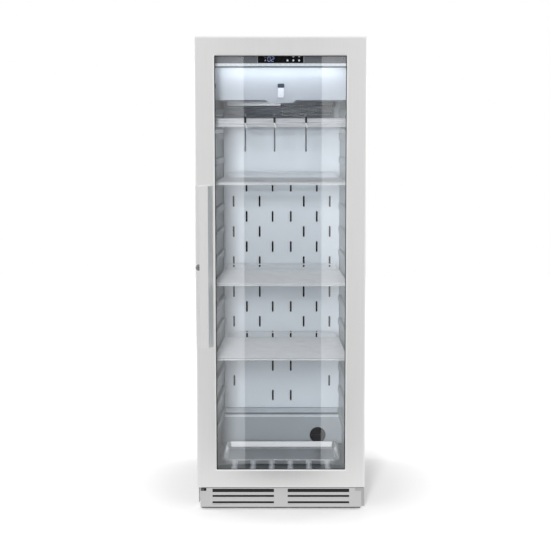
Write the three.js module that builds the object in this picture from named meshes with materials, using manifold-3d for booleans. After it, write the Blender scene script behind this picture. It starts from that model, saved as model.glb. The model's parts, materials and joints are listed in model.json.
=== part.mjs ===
// Dry aging cabinet: a tall refrigerated cabinet with a glass door, wire shelves,
// a hanging rack with hooks, a slotted air duct and its cooling plant.
// Millimetres. +X runs right, +Y runs back into the cabinet, +Z runs up.
import * as THREE from 'three';
import { mergeVertices } from 'three/addons/utils/BufferGeometryUtils.js';
import Module from 'manifold-3d';

const wasm = await Module();
wasm.setup();

// Overall sizes
const doorWidth = 595;
const doorHeight = 1586;
const doorBottom = 78;
const doorThickness = 45;
const doorGap = 8;
const bodySideReveal = 2.5;
const bodyTopReveal = 6;
const bodyDepth = 593;
const handleProjection = 34;

// Clearances and making allowances
const fitGap = 0.3;
const runGap = 0.5;
const overrun = 4;
const weldSink = 0.8;
const mergeDistance = 0.001;

// Sheet and wall thicknesses
const casingSheet = 1.2;
const linerWall = 2;
const cornerRadius = 3;

// The cold room and the insulation round it
const sideInsulation = 47;
const backInsulation = 44;
const topInsulation = 40;
const floorRise = 41;
const floorInsulation = 43;
const wallDraft = THREE.MathUtils.degToRad(1.95);
const humpHeight = 110;
const humpLength = 154;
const ductDepth = 22;

// Facet counts
const roundSides = 14;
const studSides = 10;
const rodSides = 8;
const wireSides = 6;
const crossSides = 5;
const bendSteps = 3;

// Places worked out from the sizes above
const doorTop = doorBottom + doorHeight;
const doorHalf = doorWidth / 2;
const bodyHalf = doorHalf - bodySideReveal;
const bodyTop = doorTop - bodyTopReveal;
const overallDepth = handleProjection + doorThickness + doorGap + bodyDepth;
const doorFront = handleProjection - overallDepth / 2;
const doorBack = doorFront + doorThickness;
const bodyFront = doorBack + doorGap;
const bodyBack = bodyFront + bodyDepth;
const cavityHalfWidth = bodyHalf - sideInsulation;
const cavityBack = bodyBack - backInsulation;
const floorHeight = doorBottom + floorRise;
const ceilingHeight = bodyTop - topInsulation;
const ductFront = cavityBack - ductDepth;
const humpFront = cavityBack - humpLength;
const humpTop = floorHeight + humpHeight;
const draftRise = Math.tan(wallDraft);
const wallAt = (y) => cavityHalfWidth - (y - bodyFront) * draftRise;

// Materials
function finish(color, roughness, metalness, opacity = 1) {
  return new THREE.MeshStandardMaterial({
    color, roughness, metalness, opacity, transparent: opacity < 1,
  });
}
const stainless = finish(0xd6d6d6, 0.35, 0.9);
const brightSteel = finish(0xe4e6e8, 0.15, 1);
const blackSteel = finish(0x17181a, 0.5, 0.3);
const zincSteel = finish(0xa9adb0, 0.45, 0.8);
const linerPlastic = finish(0xb9c2c8, 0.55, 0);
const whitePlastic = finish(0xe6edf3, 0.5, 0);
const blackPlastic = finish(0x1b1c1e, 0.6, 0);
const blackGloss = finish(0x050506, 0.12, 0);
const clearGlass = finish(0xcfd8dc, 0.05, 0, 0.25);
const foam = finish(0xe3d9a8, 0.9, 0);
const rubber = finish(0x202124, 0.85, 0);
const aluminium = finish(0xbfc4c9, 0.4, 0.9);
const lightDiffuser = finish(0xf4f8ff, 0.4, 0);

const cabinet = new THREE.Group();

function piece(name, solid, material, position = [0, 0, 0], turn = 0) {
  const mesh = new THREE.Mesh(toGeometry(solid), material);
  mesh.name = name;
  mesh.position.set(...position);
  mesh.rotation.z = turn;
  cabinet.add(mesh);
}

// Solids from closed surfaces

function signedVolume(points, corners) {
  const [a, b, c] = [new THREE.Vector3(), new THREE.Vector3(), new THREE.Vector3()];
  let total = 0;
  for (let i = 0; i < corners.length; i += 3) {
    a.fromArray(points, corners[i] * 3);
    b.fromArray(points, corners[i + 1] * 3);
    c.fromArray(points, corners[i + 2] * 3);
    total += a.dot(b.cross(c));
  }
  return total;
}

function toSolid(geometry) {
  const bare = geometry.clone();
  bare.deleteAttribute('normal');
  bare.deleteAttribute('uv');
  const merged = mergeVertices(bare, mergeDistance);
  const corners = merged.index.array;
  const faces = [];
  for (let i = 0; i < corners.length; i += 3) {
    const [a, b, c] = [corners[i], corners[i + 1], corners[i + 2]];
    if (a !== b && b !== c && c !== a) faces.push(a, b, c);
  }
  const vertProperties = Float32Array.from(merged.attributes.position.array);
  if (signedVolume(vertProperties, faces) < 0) faces.reverse();
  return new wasm.Manifold(new wasm.Mesh({
    numProp: 3, vertProperties, triVerts: Uint32Array.from(faces),
  }));
}

function toGeometry(solid) {
  const { vertProperties, triVerts } = solid.getMesh();
  const geometry = new THREE.BufferGeometry();
  geometry.setAttribute('position', new THREE.BufferAttribute(vertProperties, 3));
  geometry.setIndex(new THREE.BufferAttribute(triVerts, 1));
  geometry.computeVertexNormals();
  return geometry;
}

const fused = (solids) => solids.reduce((whole, solid) => whole.add(solid));
const without = (solid, cuts) => cuts.reduce((rest, cut) => rest.subtract(cut), solid);
const moved = (solid, matrix) => toSolid(toGeometry(solid).applyMatrix4(matrix));
const mirrored = (solid) => moved(solid, new THREE.Matrix4().makeScale(-1, 1, 1));

// Leans a wall built square to the front opening in towards the middle, to the right wall's draft.
function leaned(solid) {
  const lean = new THREE.Matrix4();
  lean.elements[4] = -draftRise;
  lean.elements[12] = draftRise * bodyFront;
  return moved(solid, lean);
}

// A flat outline (u, v) pushed along an axis: u, v are y, z along x; x, z along y; x, y along z.
const axisFrames = {
  x: new THREE.Matrix4().set(0, 0, 1, 0, 1, 0, 0, 0, 0, 1, 0, 0, 0, 0, 0, 1),
  y: new THREE.Matrix4().set(1, 0, 0, 0, 0, 0, 1, 0, 0, 1, 0, 0, 0, 0, 0, 1),
  z: new THREE.Matrix4(),
};

const polygon = (corners) => new THREE.Shape(corners.map(([u, v]) => new THREE.Vector2(u, v)));

function prism(axis, outline, [start, end], arcSteps = 2) {
  const shape = outline instanceof THREE.Shape ? outline : polygon(outline);
  const geometry = new THREE.ExtrudeGeometry(shape, {
    depth: end - start, bevelEnabled: false, curveSegments: arcSteps,
  });
  geometry.translate(0, 0, start);
  return toSolid(geometry.applyMatrix4(axisFrames[axis]));
}

function box([x0, x1], [y0, y1], [z0, z1]) {
  return prism('z', [[x0, y0], [x1, y0], [x1, y1], [x0, y1]], [z0, z1]);
}

function circle(u, v, radius, sides = roundSides) {
  return Array.from({ length: sides }, (_, i) => {
    const angle = (2 * Math.PI * i) / sides;
    return [u + radius * Math.cos(angle), v + radius * Math.sin(angle)];
  });
}

function pin(axis, [u, v], radius, span, sides = roundSides) {
  return prism(axis, circle(u, v, radius, sides), span);
}

function roundedShape(left, right, bottom, top, radius) {
  const quarter = Math.PI / 2;
  const shape = new THREE.Shape();
  shape.absarc(right - radius, bottom + radius, radius, -quarter, 0);
  shape.absarc(right - radius, top - radius, radius, 0, quarter);
  shape.absarc(left + radius, top - radius, radius, quarter, 2 * quarter);
  shape.absarc(left + radius, bottom + radius, radius, 2 * quarter, 3 * quarter);
  return shape;
}

// An upright slot with round ends.
function slotOutline(u, v, width, height) {
  const radius = width / 2;
  const end = [0, 1 / 2, 1].map((share) => {
    const angle = Math.PI * share;
    return [radius * Math.cos(angle), radius * Math.sin(angle)];
  });
  const straight = height / 2 - radius;
  const top = end.map(([x, y]) => [u + x, v + straight + y]);
  const bottom = end.map(([x, y]) => [u - x, v - straight - y]);
  return polygon([...top, ...bottom]);
}

// Sheet metal: a folded line given its thickness on its left side.
function folded(line, thickness) {
  const points = line.map(([u, v]) => new THREE.Vector2(u, v));
  const normals = points.slice(1).map((point, i) => {
    const run = point.clone().sub(points[i]).normalize();
    return new THREE.Vector2(-run.y, run.x);
  });
  const offset = points.map((point, i) => {
    const before = normals[Math.max(i - 1, 0)];
    const after = normals[Math.min(i, normals.length - 1)];
    const mitre = before.clone().add(after);
    return point.clone().addScaledVector(mitre, (2 * thickness) / mitre.lengthSq());
  });
  return [...points, ...offset.reverse()].map((point) => [point.x, point.y]);
}

// Rings of points joined into one skin, closed by end caps or by joining the last ring to the first.
function stitched(rings, looped = false) {
  const count = rings[0].length;
  const positions = rings.flat(2);
  const index = [];
  const spans = looped ? rings.length : rings.length - 1;
  for (let i = 0; i < spans; i += 1) {
    const here = i * count;
    const next = ((i + 1) % rings.length) * count;
    for (let j = 0; j < count; j += 1) {
      const k = (j + 1) % count;
      index.push(here + j, here + k, next + k, here + j, next + k, next + j);
    }
  }
  if (!looped) {
    const end = (rings.length - 1) * count;
    for (let j = 1; j < count - 1; j += 1) {
      index.push(0, j + 1, j, end, end + j, end + j + 1);
    }
  }
  const geometry = new THREE.BufferGeometry();
  geometry.setAttribute('position', new THREE.Float32BufferAttribute(positions, 3));
  geometry.setIndex(index);
  return toSolid(geometry);
}

// A rectangle and its copies grown outwards, which rings and pans are lofted through.
const rect = (left, right, bottom, top) => ({ left, right, bottom, top });
const grown = (r, by) => rect(r.left - by, r.right + by, r.bottom - by, r.top + by);

function rectRing(axis, outline, radius, at, steps) {
  const shape = roundedShape(outline.left, outline.right, outline.bottom, outline.top, radius);
  const corners = shape.curves.map((arc) => arc.getPoints(steps));
  return corners.flat().map((point) => (
    new THREE.Vector3(point.x, point.y, at).applyMatrix4(axisFrames[axis]).toArray()
  ));
}

// Sections are [outline, grow, corner radius, place along the axis].
function lofted(axis, sections, looped = false, steps = 2) {
  return stitched(sections.map(([outline, grow, radius, at]) => (
    rectRing(axis, grown(outline, grow), radius, at, steps)
  )), looped);
}

// Wire along straight runs with round bends.
function route(corners, bendRadius, closed = false) {
  const points = corners.map((corner) => new THREE.Vector3(...corner));
  const count = points.length;
  const path = [];
  for (let i = 0; i < count; i += 1) {
    const point = points[i];
    if (!closed && (i === 0 || i === count - 1)) {
      path.push(point);
    } else {
      const before = points[(i + count - 1) % count].clone().sub(point).setLength(bendRadius).add(point);
      const after = points[(i + 1) % count].clone().sub(point).setLength(bendRadius).add(point);
      path.push(...new THREE.QuadraticBezierCurve3(before, point, after).getPoints(bendSteps));
    }
  }
  return path;
}

function wire(path, radius, closed = false, sides = wireSides) {
  const count = path.length;
  const side = new THREE.Vector3();
  const rings = path.map((point, i) => {
    const before = path[closed ? (i + count - 1) % count : Math.max(i - 1, 0)];
    const after = path[closed ? (i + 1) % count : Math.min(i + 1, count - 1)];
    const back = point.clone().sub(before).normalize();
    const run = after.clone().sub(point).normalize().add(back).normalize();
    if (i === 0) {
      const steep = Math.abs(run.z) > Math.SQRT1_2;
      side.set(steep ? 1 : 0, 0, steep ? 0 : 1);
    }
    side.addScaledVector(run, -side.dot(run)).normalize();
    const across = run.clone().cross(side);
    return circle(0, 0, radius, sides).map(([u, v]) => (
      point.clone().addScaledVector(side, u).addScaledVector(across, v).toArray()
    ));
  });
  return stitched(rings, closed);
}

const rod = (from, to, radius, sides = wireSides) => (
  wire([new THREE.Vector3(...from), new THREE.Vector3(...to)], radius, false, sides)
);

// Front frame: the bezel round the opening, which the door's gasket seals on
const frameBottom = doorBottom + 2 * runGap;
const frameFace = 2;
const frameOuterFlange = 12;
const frameInnerFlange = 14;
const bodyRect = rect(-bodyHalf, bodyHalf, frameBottom, bodyTop);
const openingRect = rect(-cavityHalfWidth, cavityHalfWidth, floorHeight, ceilingHeight);

function frontFrame() {
  const innerBack = bodyFront + frameInnerFlange;
  const outerBack = bodyFront + frameOuterFlange;
  const faceBack = bodyFront + frameFace;
  return lofted('y', [
    [bodyRect, 0, cornerRadius, bodyFront],
    [openingRect, 0, cornerRadius, bodyFront],
    [openingRect, 0, cornerRadius, innerBack],
    [openingRect, casingSheet, cornerRadius, innerBack],
    [openingRect, casingSheet, cornerRadius, faceBack],
    [bodyRect, -casingSheet, cornerRadius, faceBack],
    [bodyRect, -casingSheet, cornerRadius, outerBack],
    [bodyRect, 0, cornerRadius, outerBack],
  ], true);
}

// Base frame with its feet
const baseHeight = 12;
const baseRim = 20;
const footInset = 62;
const footSideInset = 55;
const footPadRadius = 20;
const footPadEdge = 4;
const footNutRadius = 9;
const footNutBottom = 7;
const studRadius = 5;
const studTop = 40;
const bossRadius = 11;
const bossHeight = 12;
const airWindowMargin = 40;
const airWindowRise = 6;
const airWindowHeight = 52;
const baseFrontTop = frameBottom - fitGap;
const footX = bodyHalf - footSideInset;
const footPlaces = {
  foot_front_left: [-footX, bodyFront + footInset],
  foot_front_right: [footX, bodyFront + footInset],
  foot_rear_left: [-footX, bodyBack - footInset],
  foot_rear_right: [footX, bodyBack - footInset],
};

function baseFrame() {
  const half = bodyHalf - casingSheet - fitGap;
  const back = bodyBack - 2 * (casingSheet + fitGap);
  const outline = rect(-half, half, bodyFront, back);
  const top = baseHeight + baseRim;
  const tray = lofted('z', [
    [outline, 0, cornerRadius, baseHeight],
    [outline, 0, cornerRadius, top],
    [outline, -casingSheet, cornerRadius, top],
    [outline, -casingSheet, cornerRadius, baseHeight + casingSheet],
  ]);
  const frontWall = box([-half, half], [bodyFront, bodyFront + casingSheet], [baseHeight, baseFrontTop]);
  const airWindow = box(
    [-half + airWindowMargin, half - airWindowMargin],
    [bodyFront - overrun, bodyFront + overrun],
    [baseHeight + airWindowRise, baseHeight + airWindowRise + airWindowHeight],
  );
  const places = Object.values(footPlaces);
  const bossTop = baseHeight + bossHeight;
  const bosses = places.map((place) => pin('z', place, bossRadius, [baseHeight, bossTop], rodSides));
  const holes = places.map((place) => (
    pin('z', place, studRadius + fitGap, [baseHeight - overrun, bossTop + overrun], studSides)
  ));
  return without(fused([tray, frontWall, ...bosses]), [airWindow, ...holes]);
}

function foot() {
  const profile = [
    [0, 0], [footPadRadius, 0], [footPadRadius, footPadEdge], [footNutRadius, footNutBottom],
    [footNutRadius, baseHeight - fitGap], [studRadius, baseHeight - fitGap],
    [studRadius, studTop], [0, studTop],
  ];
  const lathe = new THREE.LatheGeometry(profile.map(([r, z]) => new THREE.Vector2(r, z)), studSides);
  return toSolid(lathe.rotateX(Math.PI / 2));
}

piece('front_frame', frontFrame(), stainless);
piece('base_frame', baseFrame(), zincSteel);
for (const [name, [x, y]] of Object.entries(footPlaces)) piece(name, foot(), blackPlastic, [x, y, 0]);

// Casing: side, top and back sheets folded at their edges
const casingBottom = 8;
const sideReturn = 14;
const topRim = 10;
const backBeadDepth = 3;
const backBeadWidth = 40;
const backBeadCount = 3;
const serviceOverlap = 8;

const sideFront = bodyFront + frameOuterFlange + fitGap;
const backOuter = bodyBack - casingSheet - fitGap;
const backInner = backOuter - casingSheet;
const humpInsulation = 41;
const bayRoof = humpTop - humpInsulation;
const serviceTop = bayRoof + serviceOverlap;

function casingSide() {
  const plan = folded([
    [bodyHalf - sideReturn, bodyBack], [bodyHalf, bodyBack], [bodyHalf, sideFront],
  ].reverse(), casingSheet);
  const upper = prism('z', plan, [casingBottom, bodyTop - casingSheet - fitGap]);
  const skirt = box([bodyHalf - casingSheet, bodyHalf], [bodyFront, sideFront + overrun],
    [casingBottom, frameBottom - fitGap]);
  return upper.add(skirt);
}

function casingTop() {
  const outline = rect(-bodyHalf, bodyHalf, sideFront, bodyBack);
  const rimInset = -(casingSheet + fitGap);
  return lofted('z', [
    [outline, 0, cornerRadius, bodyTop],
    [outline, 0, cornerRadius, bodyTop - casingSheet],
    [outline, rimInset, cornerRadius, bodyTop - casingSheet],
    [outline, rimInset, cornerRadius, bodyTop - topRim],
    [outline, rimInset - casingSheet, cornerRadius, bodyTop - topRim],
    [outline, rimInset - casingSheet, cornerRadius, bodyTop - casingSheet * 2],
  ]);
}

function casingBack() {
  const bottom = serviceTop + runGap;
  const top = bodyTop - topRim - fitGap;
  const pitch = (top - bottom) / backBeadCount;
  const line = [[backOuter, bottom]];
  for (let i = 0; i < backBeadCount; i += 1) {
    const middle = bottom + pitch * (i + 1 / 2);
    line.push(
      [backOuter, middle - backBeadWidth], [backOuter - backBeadDepth, middle - backBeadWidth / 2],
      [backOuter - backBeadDepth, middle + backBeadWidth / 2], [backOuter, middle + backBeadWidth],
    );
  }
  line.push([backOuter, top]);
  const half = bodyHalf - casingSheet - fitGap;
  return prism('x', folded(line, casingSheet), [-half, half]);
}

piece('casing_left', mirrored(casingSide()), blackSteel);
piece('casing_right', casingSide(), blackSteel);
piece('casing_top', casingTop(), blackSteel);
piece('casing_back', casingBack(), zincSteel);

// Machine bay at the bottom of the back, and the panel that closes the insulation over it
const bayDepth = 152;
const underfloor = floorHeight - floorInsulation;
const bayFront = backInner - bayDepth;
const louvreCount = 6;
const louvreWidth = 8;
const louvreHeight = 110;
const louvreSideGap = 45;
const louvreSpacing = 34;
const glandRadius = 9;
const glandFlange = 13;
const glandLength = 16;
const glandInset = 40;
const glandRise = 34;
const glandX = -bodyHalf + glandInset;
const glandHeight = baseHeight + glandRise;

function bayPanel() {
  const line = [
    [bodyFront + casingSheet + fitGap, underfloor], [bayFront, underfloor],
    [bayFront, bayRoof], [backInner - fitGap, bayRoof],
  ];
  const half = bodyHalf - casingSheet - fitGap;
  return prism('x', folded(line, casingSheet), [-half, half]);
}

function serviceCover() {
  const half = bodyHalf - casingSheet - fitGap;
  const bottom = baseHeight + fitGap;
  const shape = polygon([[-half, bottom], [half, bottom], [half, serviceTop], [-half, serviceTop]]);
  const middle = (bottom + serviceTop) / 2;
  for (const side of [-1, 1]) {
    for (let i = 0; i < louvreCount; i += 1) {
      const x = side * (louvreSideGap + i * louvreSpacing);
      shape.holes.push(slotOutline(x, middle, louvreWidth, louvreHeight));
    }
  }
  const sheet = prism('y', shape, [backInner, backOuter]);
  const through = [backInner - overrun, bodyBack + overrun];
  const inlet = pin('y', [glandX, glandHeight], glandRadius + fitGap, through);
  return sheet.subtract(inlet);
}

function cordGland() {
  const profile = [
    [0, -glandLength], [glandRadius, -glandLength], [glandRadius, fitGap],
    [glandFlange, fitGap], [glandFlange, casingSheet], [0, casingSheet],
  ];
  const lathe = new THREE.LatheGeometry(profile.map(([r, y]) => new THREE.Vector2(r, y)), roundSides);
  return toSolid(lathe);
}

piece('bay_panel', bayPanel(), zincSteel);
piece('service_cover', serviceCover(), blackSteel);
piece('cord_gland', cordGland(), rubber, [glandX, backOuter, glandHeight]);

// Filter socket in the step over the machine bay
const filterSideGap = 107;
const filterRise = 33;
const filterRadius = 31.5;
const filterSpigot = 25;
const filterLength = 26;
const filterCapDepth = 9;
const filterGrip = 8;
const filterX = cavityHalfWidth - filterSideGap;
const filterHeight = floorHeight + filterRise;
const filterRim = 2.5;
const filterClearance = 1.2;

// Liner: walls with shelf ribs, ribbed floor, step over the machine bay, and the back with the ceiling
const ribSpacing = 90;
const topRibDrop = 199;
const ribHeight = 26;
const ribDepth = 12;
const ribRadius = 5;
const ribSetback = 24;
const ribBackGap = 78;
const floorRibWidth = 16;
const floorRibHeight = 6;
const floorRibSpacing = 68;
const floorRibCount = 6;
const floorRibTaper = 3;
const floorRibRun = 24;
const ribCount = Math.floor((ceilingHeight - topRibDrop - humpTop) / ribSpacing) + 1;
const seatOf = (rib) => ceilingHeight - topRibDrop - rib * ribSpacing;
const linerFront = bodyFront + frameInnerFlange + fitGap;

function ribProfile(seat) {
  const inner = cavityHalfWidth - ribDepth;
  const shape = new THREE.Shape();
  shape.moveTo(cavityHalfWidth + linerWall / 2, seat);
  shape.absarc(inner + ribRadius, seat - ribRadius, ribRadius, Math.PI / 2, Math.PI);
  shape.absarc(inner + ribRadius, seat - ribHeight + ribRadius, ribRadius, Math.PI, 1.5 * Math.PI);
  shape.lineTo(cavityHalfWidth + linerWall / 2, seat - ribHeight);
  return shape;
}

function linerSide() {
  const plate = box([cavityHalfWidth, cavityHalfWidth + linerWall], [linerFront, cavityBack + linerWall],
    [floorHeight - linerWall, ceilingHeight + linerWall]);
  const ribs = Array.from({ length: ribCount }, (_, i) => (
    prism('y', ribProfile(seatOf(i)), [bodyFront + ribSetback, ductFront - ribBackGap], 1)
  ));
  const overStep = box([0, cavityHalfWidth], [humpFront - fitGap, bodyBack], [0, humpTop + fitGap]);
  const behindStep = box([0, bodyHalf], [humpFront + linerWall, bodyBack], [0, humpTop - linerWall]);
  return leaned(without(fused([plate, ...ribs]), [overStep, behindStep]));
}

// A horizontal plate that fills the cavity from wall to wall.
function crossPlate([y0, y1], [z0, z1]) {
  const outline = [
    [-wallAt(y0) + fitGap, y0], [wallAt(y0) - fitGap, y0],
    [wallAt(y1) - fitGap, y1], [-wallAt(y1) + fitGap, y1],
  ];
  return prism('z', outline, [z0, z1]);
}

function linerFloor() {
  const end = humpFront - fitGap;
  const plate = crossPlate([linerFront, end], [floorHeight - linerWall, floorHeight]);
  const first = -(floorRibSpacing * (floorRibCount - 1)) / 2;
  const [ribStart, ribEnd] = [linerFront + ribSetback, end - ribSetback];
  const ribs = Array.from({ length: floorRibCount }, (_, i) => {
    const x = first + i * floorRibSpacing;
    const outline = rect(x - floorRibWidth / 2, x + floorRibWidth / 2,
      floorHeight - floorRibHeight, floorHeight + floorRibHeight);
    return lofted('y', [
      [outline, -floorRibTaper, floorRibTaper, ribStart],
      [outline, 0, floorRibTaper, ribStart + floorRibRun],
      [outline, 0, floorRibTaper, ribEnd - floorRibRun],
      [outline, -floorRibTaper, floorRibTaper, ribEnd],
    ], false, 1);
  });
  const below = box([-bodyHalf, bodyHalf], [bodyFront, bodyBack], [0, floorHeight - linerWall]);
  return fused([plate, ...ribs]).subtract(below);
}

function linerHump() {
  const front = crossPlate([humpFront, humpFront + linerWall], [floorHeight - linerWall, humpTop]);
  const lid = crossPlate([humpFront, cavityBack - fitGap], [humpTop - linerWall, humpTop]);
  const through = [humpFront - overrun, humpFront + overrun];
  const socket = pin('y', [filterX, filterHeight], filterSpigot + filterClearance, through);
  return front.add(lid).subtract(socket);
}

function linerBack() {
  const top = ceilingHeight + linerWall;
  const ceiling = crossPlate([linerFront, cavityBack + linerWall], [ceilingHeight, top]);
  return crossPlate([cavityBack, cavityBack + linerWall], [humpTop + fitGap, top]).add(ceiling);
}

piece('liner_left', mirrored(linerSide()), linerPlastic);
piece('liner_right', linerSide(), linerPlastic);
piece('liner_floor', linerFloor(), linerPlastic);
piece('liner_hump', linerHump(), linerPlastic);
piece('liner_back', linerBack(), linerPlastic);

// Foamed insulation between the casing and the liner
function insulation() {
  const half = bodyHalf - casingSheet - fitGap;
  const block = box([-half, half], [linerFront, backInner - backBeadDepth - fitGap],
    [underfloor + casingSheet + fitGap, bodyTop - topRim - fitGap]);
  const skin = linerWall + fitGap;
  const farEnd = cavityBack + skin;
  const near = linerFront - overrun;
  const room = prism('z', [
    [-wallAt(near) - skin, near], [wallAt(near) + skin, near],
    [wallAt(farEnd) + skin, farEnd], [-wallAt(farEnd) - skin, farEnd],
  ], [floorHeight - skin, ceilingHeight + skin]);
  const step = box([-bodyHalf, bodyHalf], [humpFront + skin, bodyBack], [0, humpTop - skin]);
  const baySkin = casingSheet + fitGap;
  const bay = box([-bodyHalf, bodyHalf], [bayFront - baySkin, bodyBack], [0, bayRoof + baySkin]);
  const socket = pin('y', [filterX, filterHeight], filterSpigot + filterClearance + fitGap,
    [humpFront, humpFront + filterLength + linerWall]);
  return without(block, [room.subtract(step), bay, socket]);
}

function filterCartridge() {
  const profile = [
    [0, filterLength], [filterSpigot, filterLength], [filterSpigot, -fitGap], [filterRadius, -fitGap],
    [filterRadius, filterRim - filterCapDepth],
    [filterRadius - filterRim, -filterCapDepth], [0, -filterCapDepth],
  ];
  const lathe = new THREE.LatheGeometry(profile.map(([r, y]) => new THREE.Vector2(r, y)), roundSides);
  const gripHalf = filterRadius - 2 * filterRim;
  const grip = box([-gripHalf, gripHalf], [-filterCapDepth - filterGrip, weldSink - filterCapDepth],
    [-filterGrip / 2, filterGrip / 2]);
  return toSolid(lathe).add(grip);
}

piece('insulation', insulation(), foam);
piece('filter_cartridge', filterCartridge(), blackPlastic, [filterX, humpFront, filterHeight]);

// Slotted duct panel at the back of the room
const ductTopDrop = 248;
const ductSheet = 1.5;
const ductSideGap = 0.8;
const slotWidth = 6;
const slotHeight = 43.6;
const slotRowSpacing = 60;
const singleSlotRows = 3;
const topSlotDrop = 251;
const slotInnerColumn = 36;
const slotSideGap = 38.3;
const ductTop = ceilingHeight - ductTopDrop;
const ductHalf = wallAt(cavityBack) - ductSideGap;
const slotColumnSpacing = (ductHalf - slotSideGap - slotInnerColumn) / 3;
const slotRoom = ductTop - topSlotDrop - humpTop - slotHeight;
const slotRows = Math.floor(slotRoom / slotRowSpacing) + 1;

// Rows take turns between the inner and the outer columns; the lowest rows have one pair each.
function slotColumns(row) {
  const first = row % 2;
  if (row < slotRows - singleSlotRows) return [first, first + 2];
  return [3 * first];
}

function ductPanel() {
  const plan = folded([
    [-ductHalf, cavityBack - fitGap], [-ductHalf, ductFront],
    [ductHalf, ductFront], [ductHalf, cavityBack - fitGap],
  ], ductSheet);
  const panel = prism('z', plan, [humpTop + fitGap, ductTop]);
  const slots = [];
  for (let row = 0; row < slotRows; row += 1) {
    const middle = ductTop - topSlotDrop - row * slotRowSpacing;
    for (const column of slotColumns(row)) {
      const x = slotInnerColumn + column * slotColumnSpacing;
      for (const side of [-x, x]) {
        const shape = slotOutline(side, middle, slotWidth, slotHeight);
        slots.push(prism('y', shape, [ductFront - overrun, ductFront + overrun]));
      }
    }
  }
  return without(panel, slots);
}

piece('duct_panel', ductPanel(), whitePlastic);

// Control fascia under the ceiling, with the display, its buttons and the light below it
const fasciaSetback = 37;
const fasciaHeight = 42;
const fasciaWall = 2;
const fasciaDepth = 98;
const displayHalf = 80.5;
const displayRise = 1.5;
const displayHeight = 31.5;
const displayThickness = 4;
const displayProud = 0.8;
const buttonRadius = 3.5;
const buttonLength = 4;
const buttonProud = 1.6;
const buttonInset = 16;
const buttonSpacing = 20.3;
const buttonRise = 8.5;
const buttonRowSpacing = 14.5;
const lightHeight = 10;
const lightDepth = 16;
const fasciaBottom = ceilingHeight - fasciaHeight;
const displayBottom = fasciaBottom + displayRise;
const displayTop = displayBottom + displayHeight;
const buttonColumns = [2, 1, 0].map((i) => displayHalf - buttonInset - i * buttonSpacing);
const buttonPlaces = [
  ...buttonColumns.map((x) => [x, displayBottom + buttonRise]),
  ...buttonColumns.slice(1).map((x) => [x, displayBottom + buttonRise + buttonRowSpacing]),
];
const fasciaFront = bodyFront + fasciaSetback;
const fasciaBack = fasciaFront + fasciaDepth;
const fasciaHalf = wallAt(fasciaBack) - runGap;

function controlFascia() {
  const line = [
    [fasciaBack, fasciaBottom], [fasciaFront, fasciaBottom],
    [fasciaFront, ceilingHeight - fitGap],
  ].reverse();
  const shell = prism('x', folded(line, fasciaWall), [-fasciaHalf, fasciaHalf]);
  const window = box(
    [-displayHalf - fitGap, displayHalf + fitGap],
    [fasciaFront - overrun, fasciaFront + overrun],
    [displayBottom - fitGap, displayTop + fitGap],
  );
  return shell.subtract(window);
}

function displayPanel() {
  const front = fasciaFront - displayProud;
  const depth = [front, front + displayThickness];
  const plate = box([-displayHalf, displayHalf], depth, [displayBottom, displayTop]);
  const wells = buttonPlaces.map((place) => (
    pin('y', place, buttonRadius + fitGap, [front - overrun, front + buttonLength], rodSides)
  ));
  return without(plate, wells);
}

function button() {
  return pin('y', [0, 0], buttonRadius, [0, buttonLength], rodSides);
}

piece('control_fascia', controlFascia(), linerPlastic);
piece('display_panel', displayPanel(), blackGloss);
buttonPlaces.forEach(([x, z], i) => {
  piece(`button_${i + 1}`, button(), whitePlastic, [x, fasciaFront - displayProud - buttonProud, z]);
});
piece('light_bar', box([-fasciaHalf + runGap, fasciaHalf - runGap], [fasciaFront, fasciaFront + lightDepth],
  [fasciaBottom - lightHeight, fasciaBottom - fitGap]), lightDiffuser);

// Evaporator behind its cover, with the air sensor
const coverSetback = 137;
const coverHeight = 168;
const coverSheet = 1.2;
const coverCoilGap = 9;
const coverLip = 8;
const coverFlange = 14;
const tabTopHalf = 56;
const tabBottomHalf = 43;
const tabDrop = 11;
const intakeCount = 6;
const intakeWidth = 10;
const intakeLength = 90;
const intakeSpacing = 30;
const intakeSetback = 60;
const sensorHalf = 11;
const sensorRise = 8;
const sensorHeight = 50;
const sensorDepth = 9;
const sensorBevel = 2;
const evaporatorSideGap = 38.5;
const evaporatorDepth = 56;
const evaporatorDrop = 226;
const evaporatorHeight = 160;
const evaporatorBackGap = 37;
const evaporatorLength = 2 * (ductHalf - evaporatorSideGap);
const coverBottom = ceilingHeight - coverHeight;
const coverFront = bodyFront + coverSetback;
const evaporatorFront = cavityBack - evaporatorBackGap - evaporatorDepth;
const coverBack = evaporatorFront - coverCoilGap;

function evaporatorCover() {
  const line = [
    [coverFront + coverFlange, ceilingHeight - fitGap], [coverFront, ceilingHeight - fitGap],
    [coverFront, coverBottom], [coverBack, coverBottom], [coverBack, coverBottom + coverLip],
  ];
  const wide = wallAt(coverFront);
  const shell = prism('x', folded(line, coverSheet), [-wide, wide]);
  const reach = coverBack + overrun;
  const room = prism('z', [
    [-wallAt(coverFront) + runGap, coverFront], [wallAt(coverFront) - runGap, coverFront],
    [wallAt(reach) - runGap, reach], [-wallAt(reach) + runGap, reach],
  ], [coverBottom - overrun, ceilingHeight]);
  const tab = prism('y', [
    [-tabTopHalf, coverBottom + coverSheet], [-tabBottomHalf, coverBottom - tabDrop],
    [tabBottomHalf, coverBottom - tabDrop], [tabTopHalf, coverBottom + coverSheet],
  ], [coverFront, coverFront + coverSheet]);
  const first = -(intakeSpacing * (intakeCount - 1)) / 2;
  const intakes = Array.from({ length: intakeCount }, (_, i) => {
    const middle = coverFront + intakeSetback + intakeLength / 2;
    const shape = slotOutline(first + i * intakeSpacing, middle, intakeWidth, intakeLength);
    return prism('z', shape, [coverBottom - overrun, coverBottom + overrun]);
  });
  return without(shell.intersect(room).add(tab), intakes);
}

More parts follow.
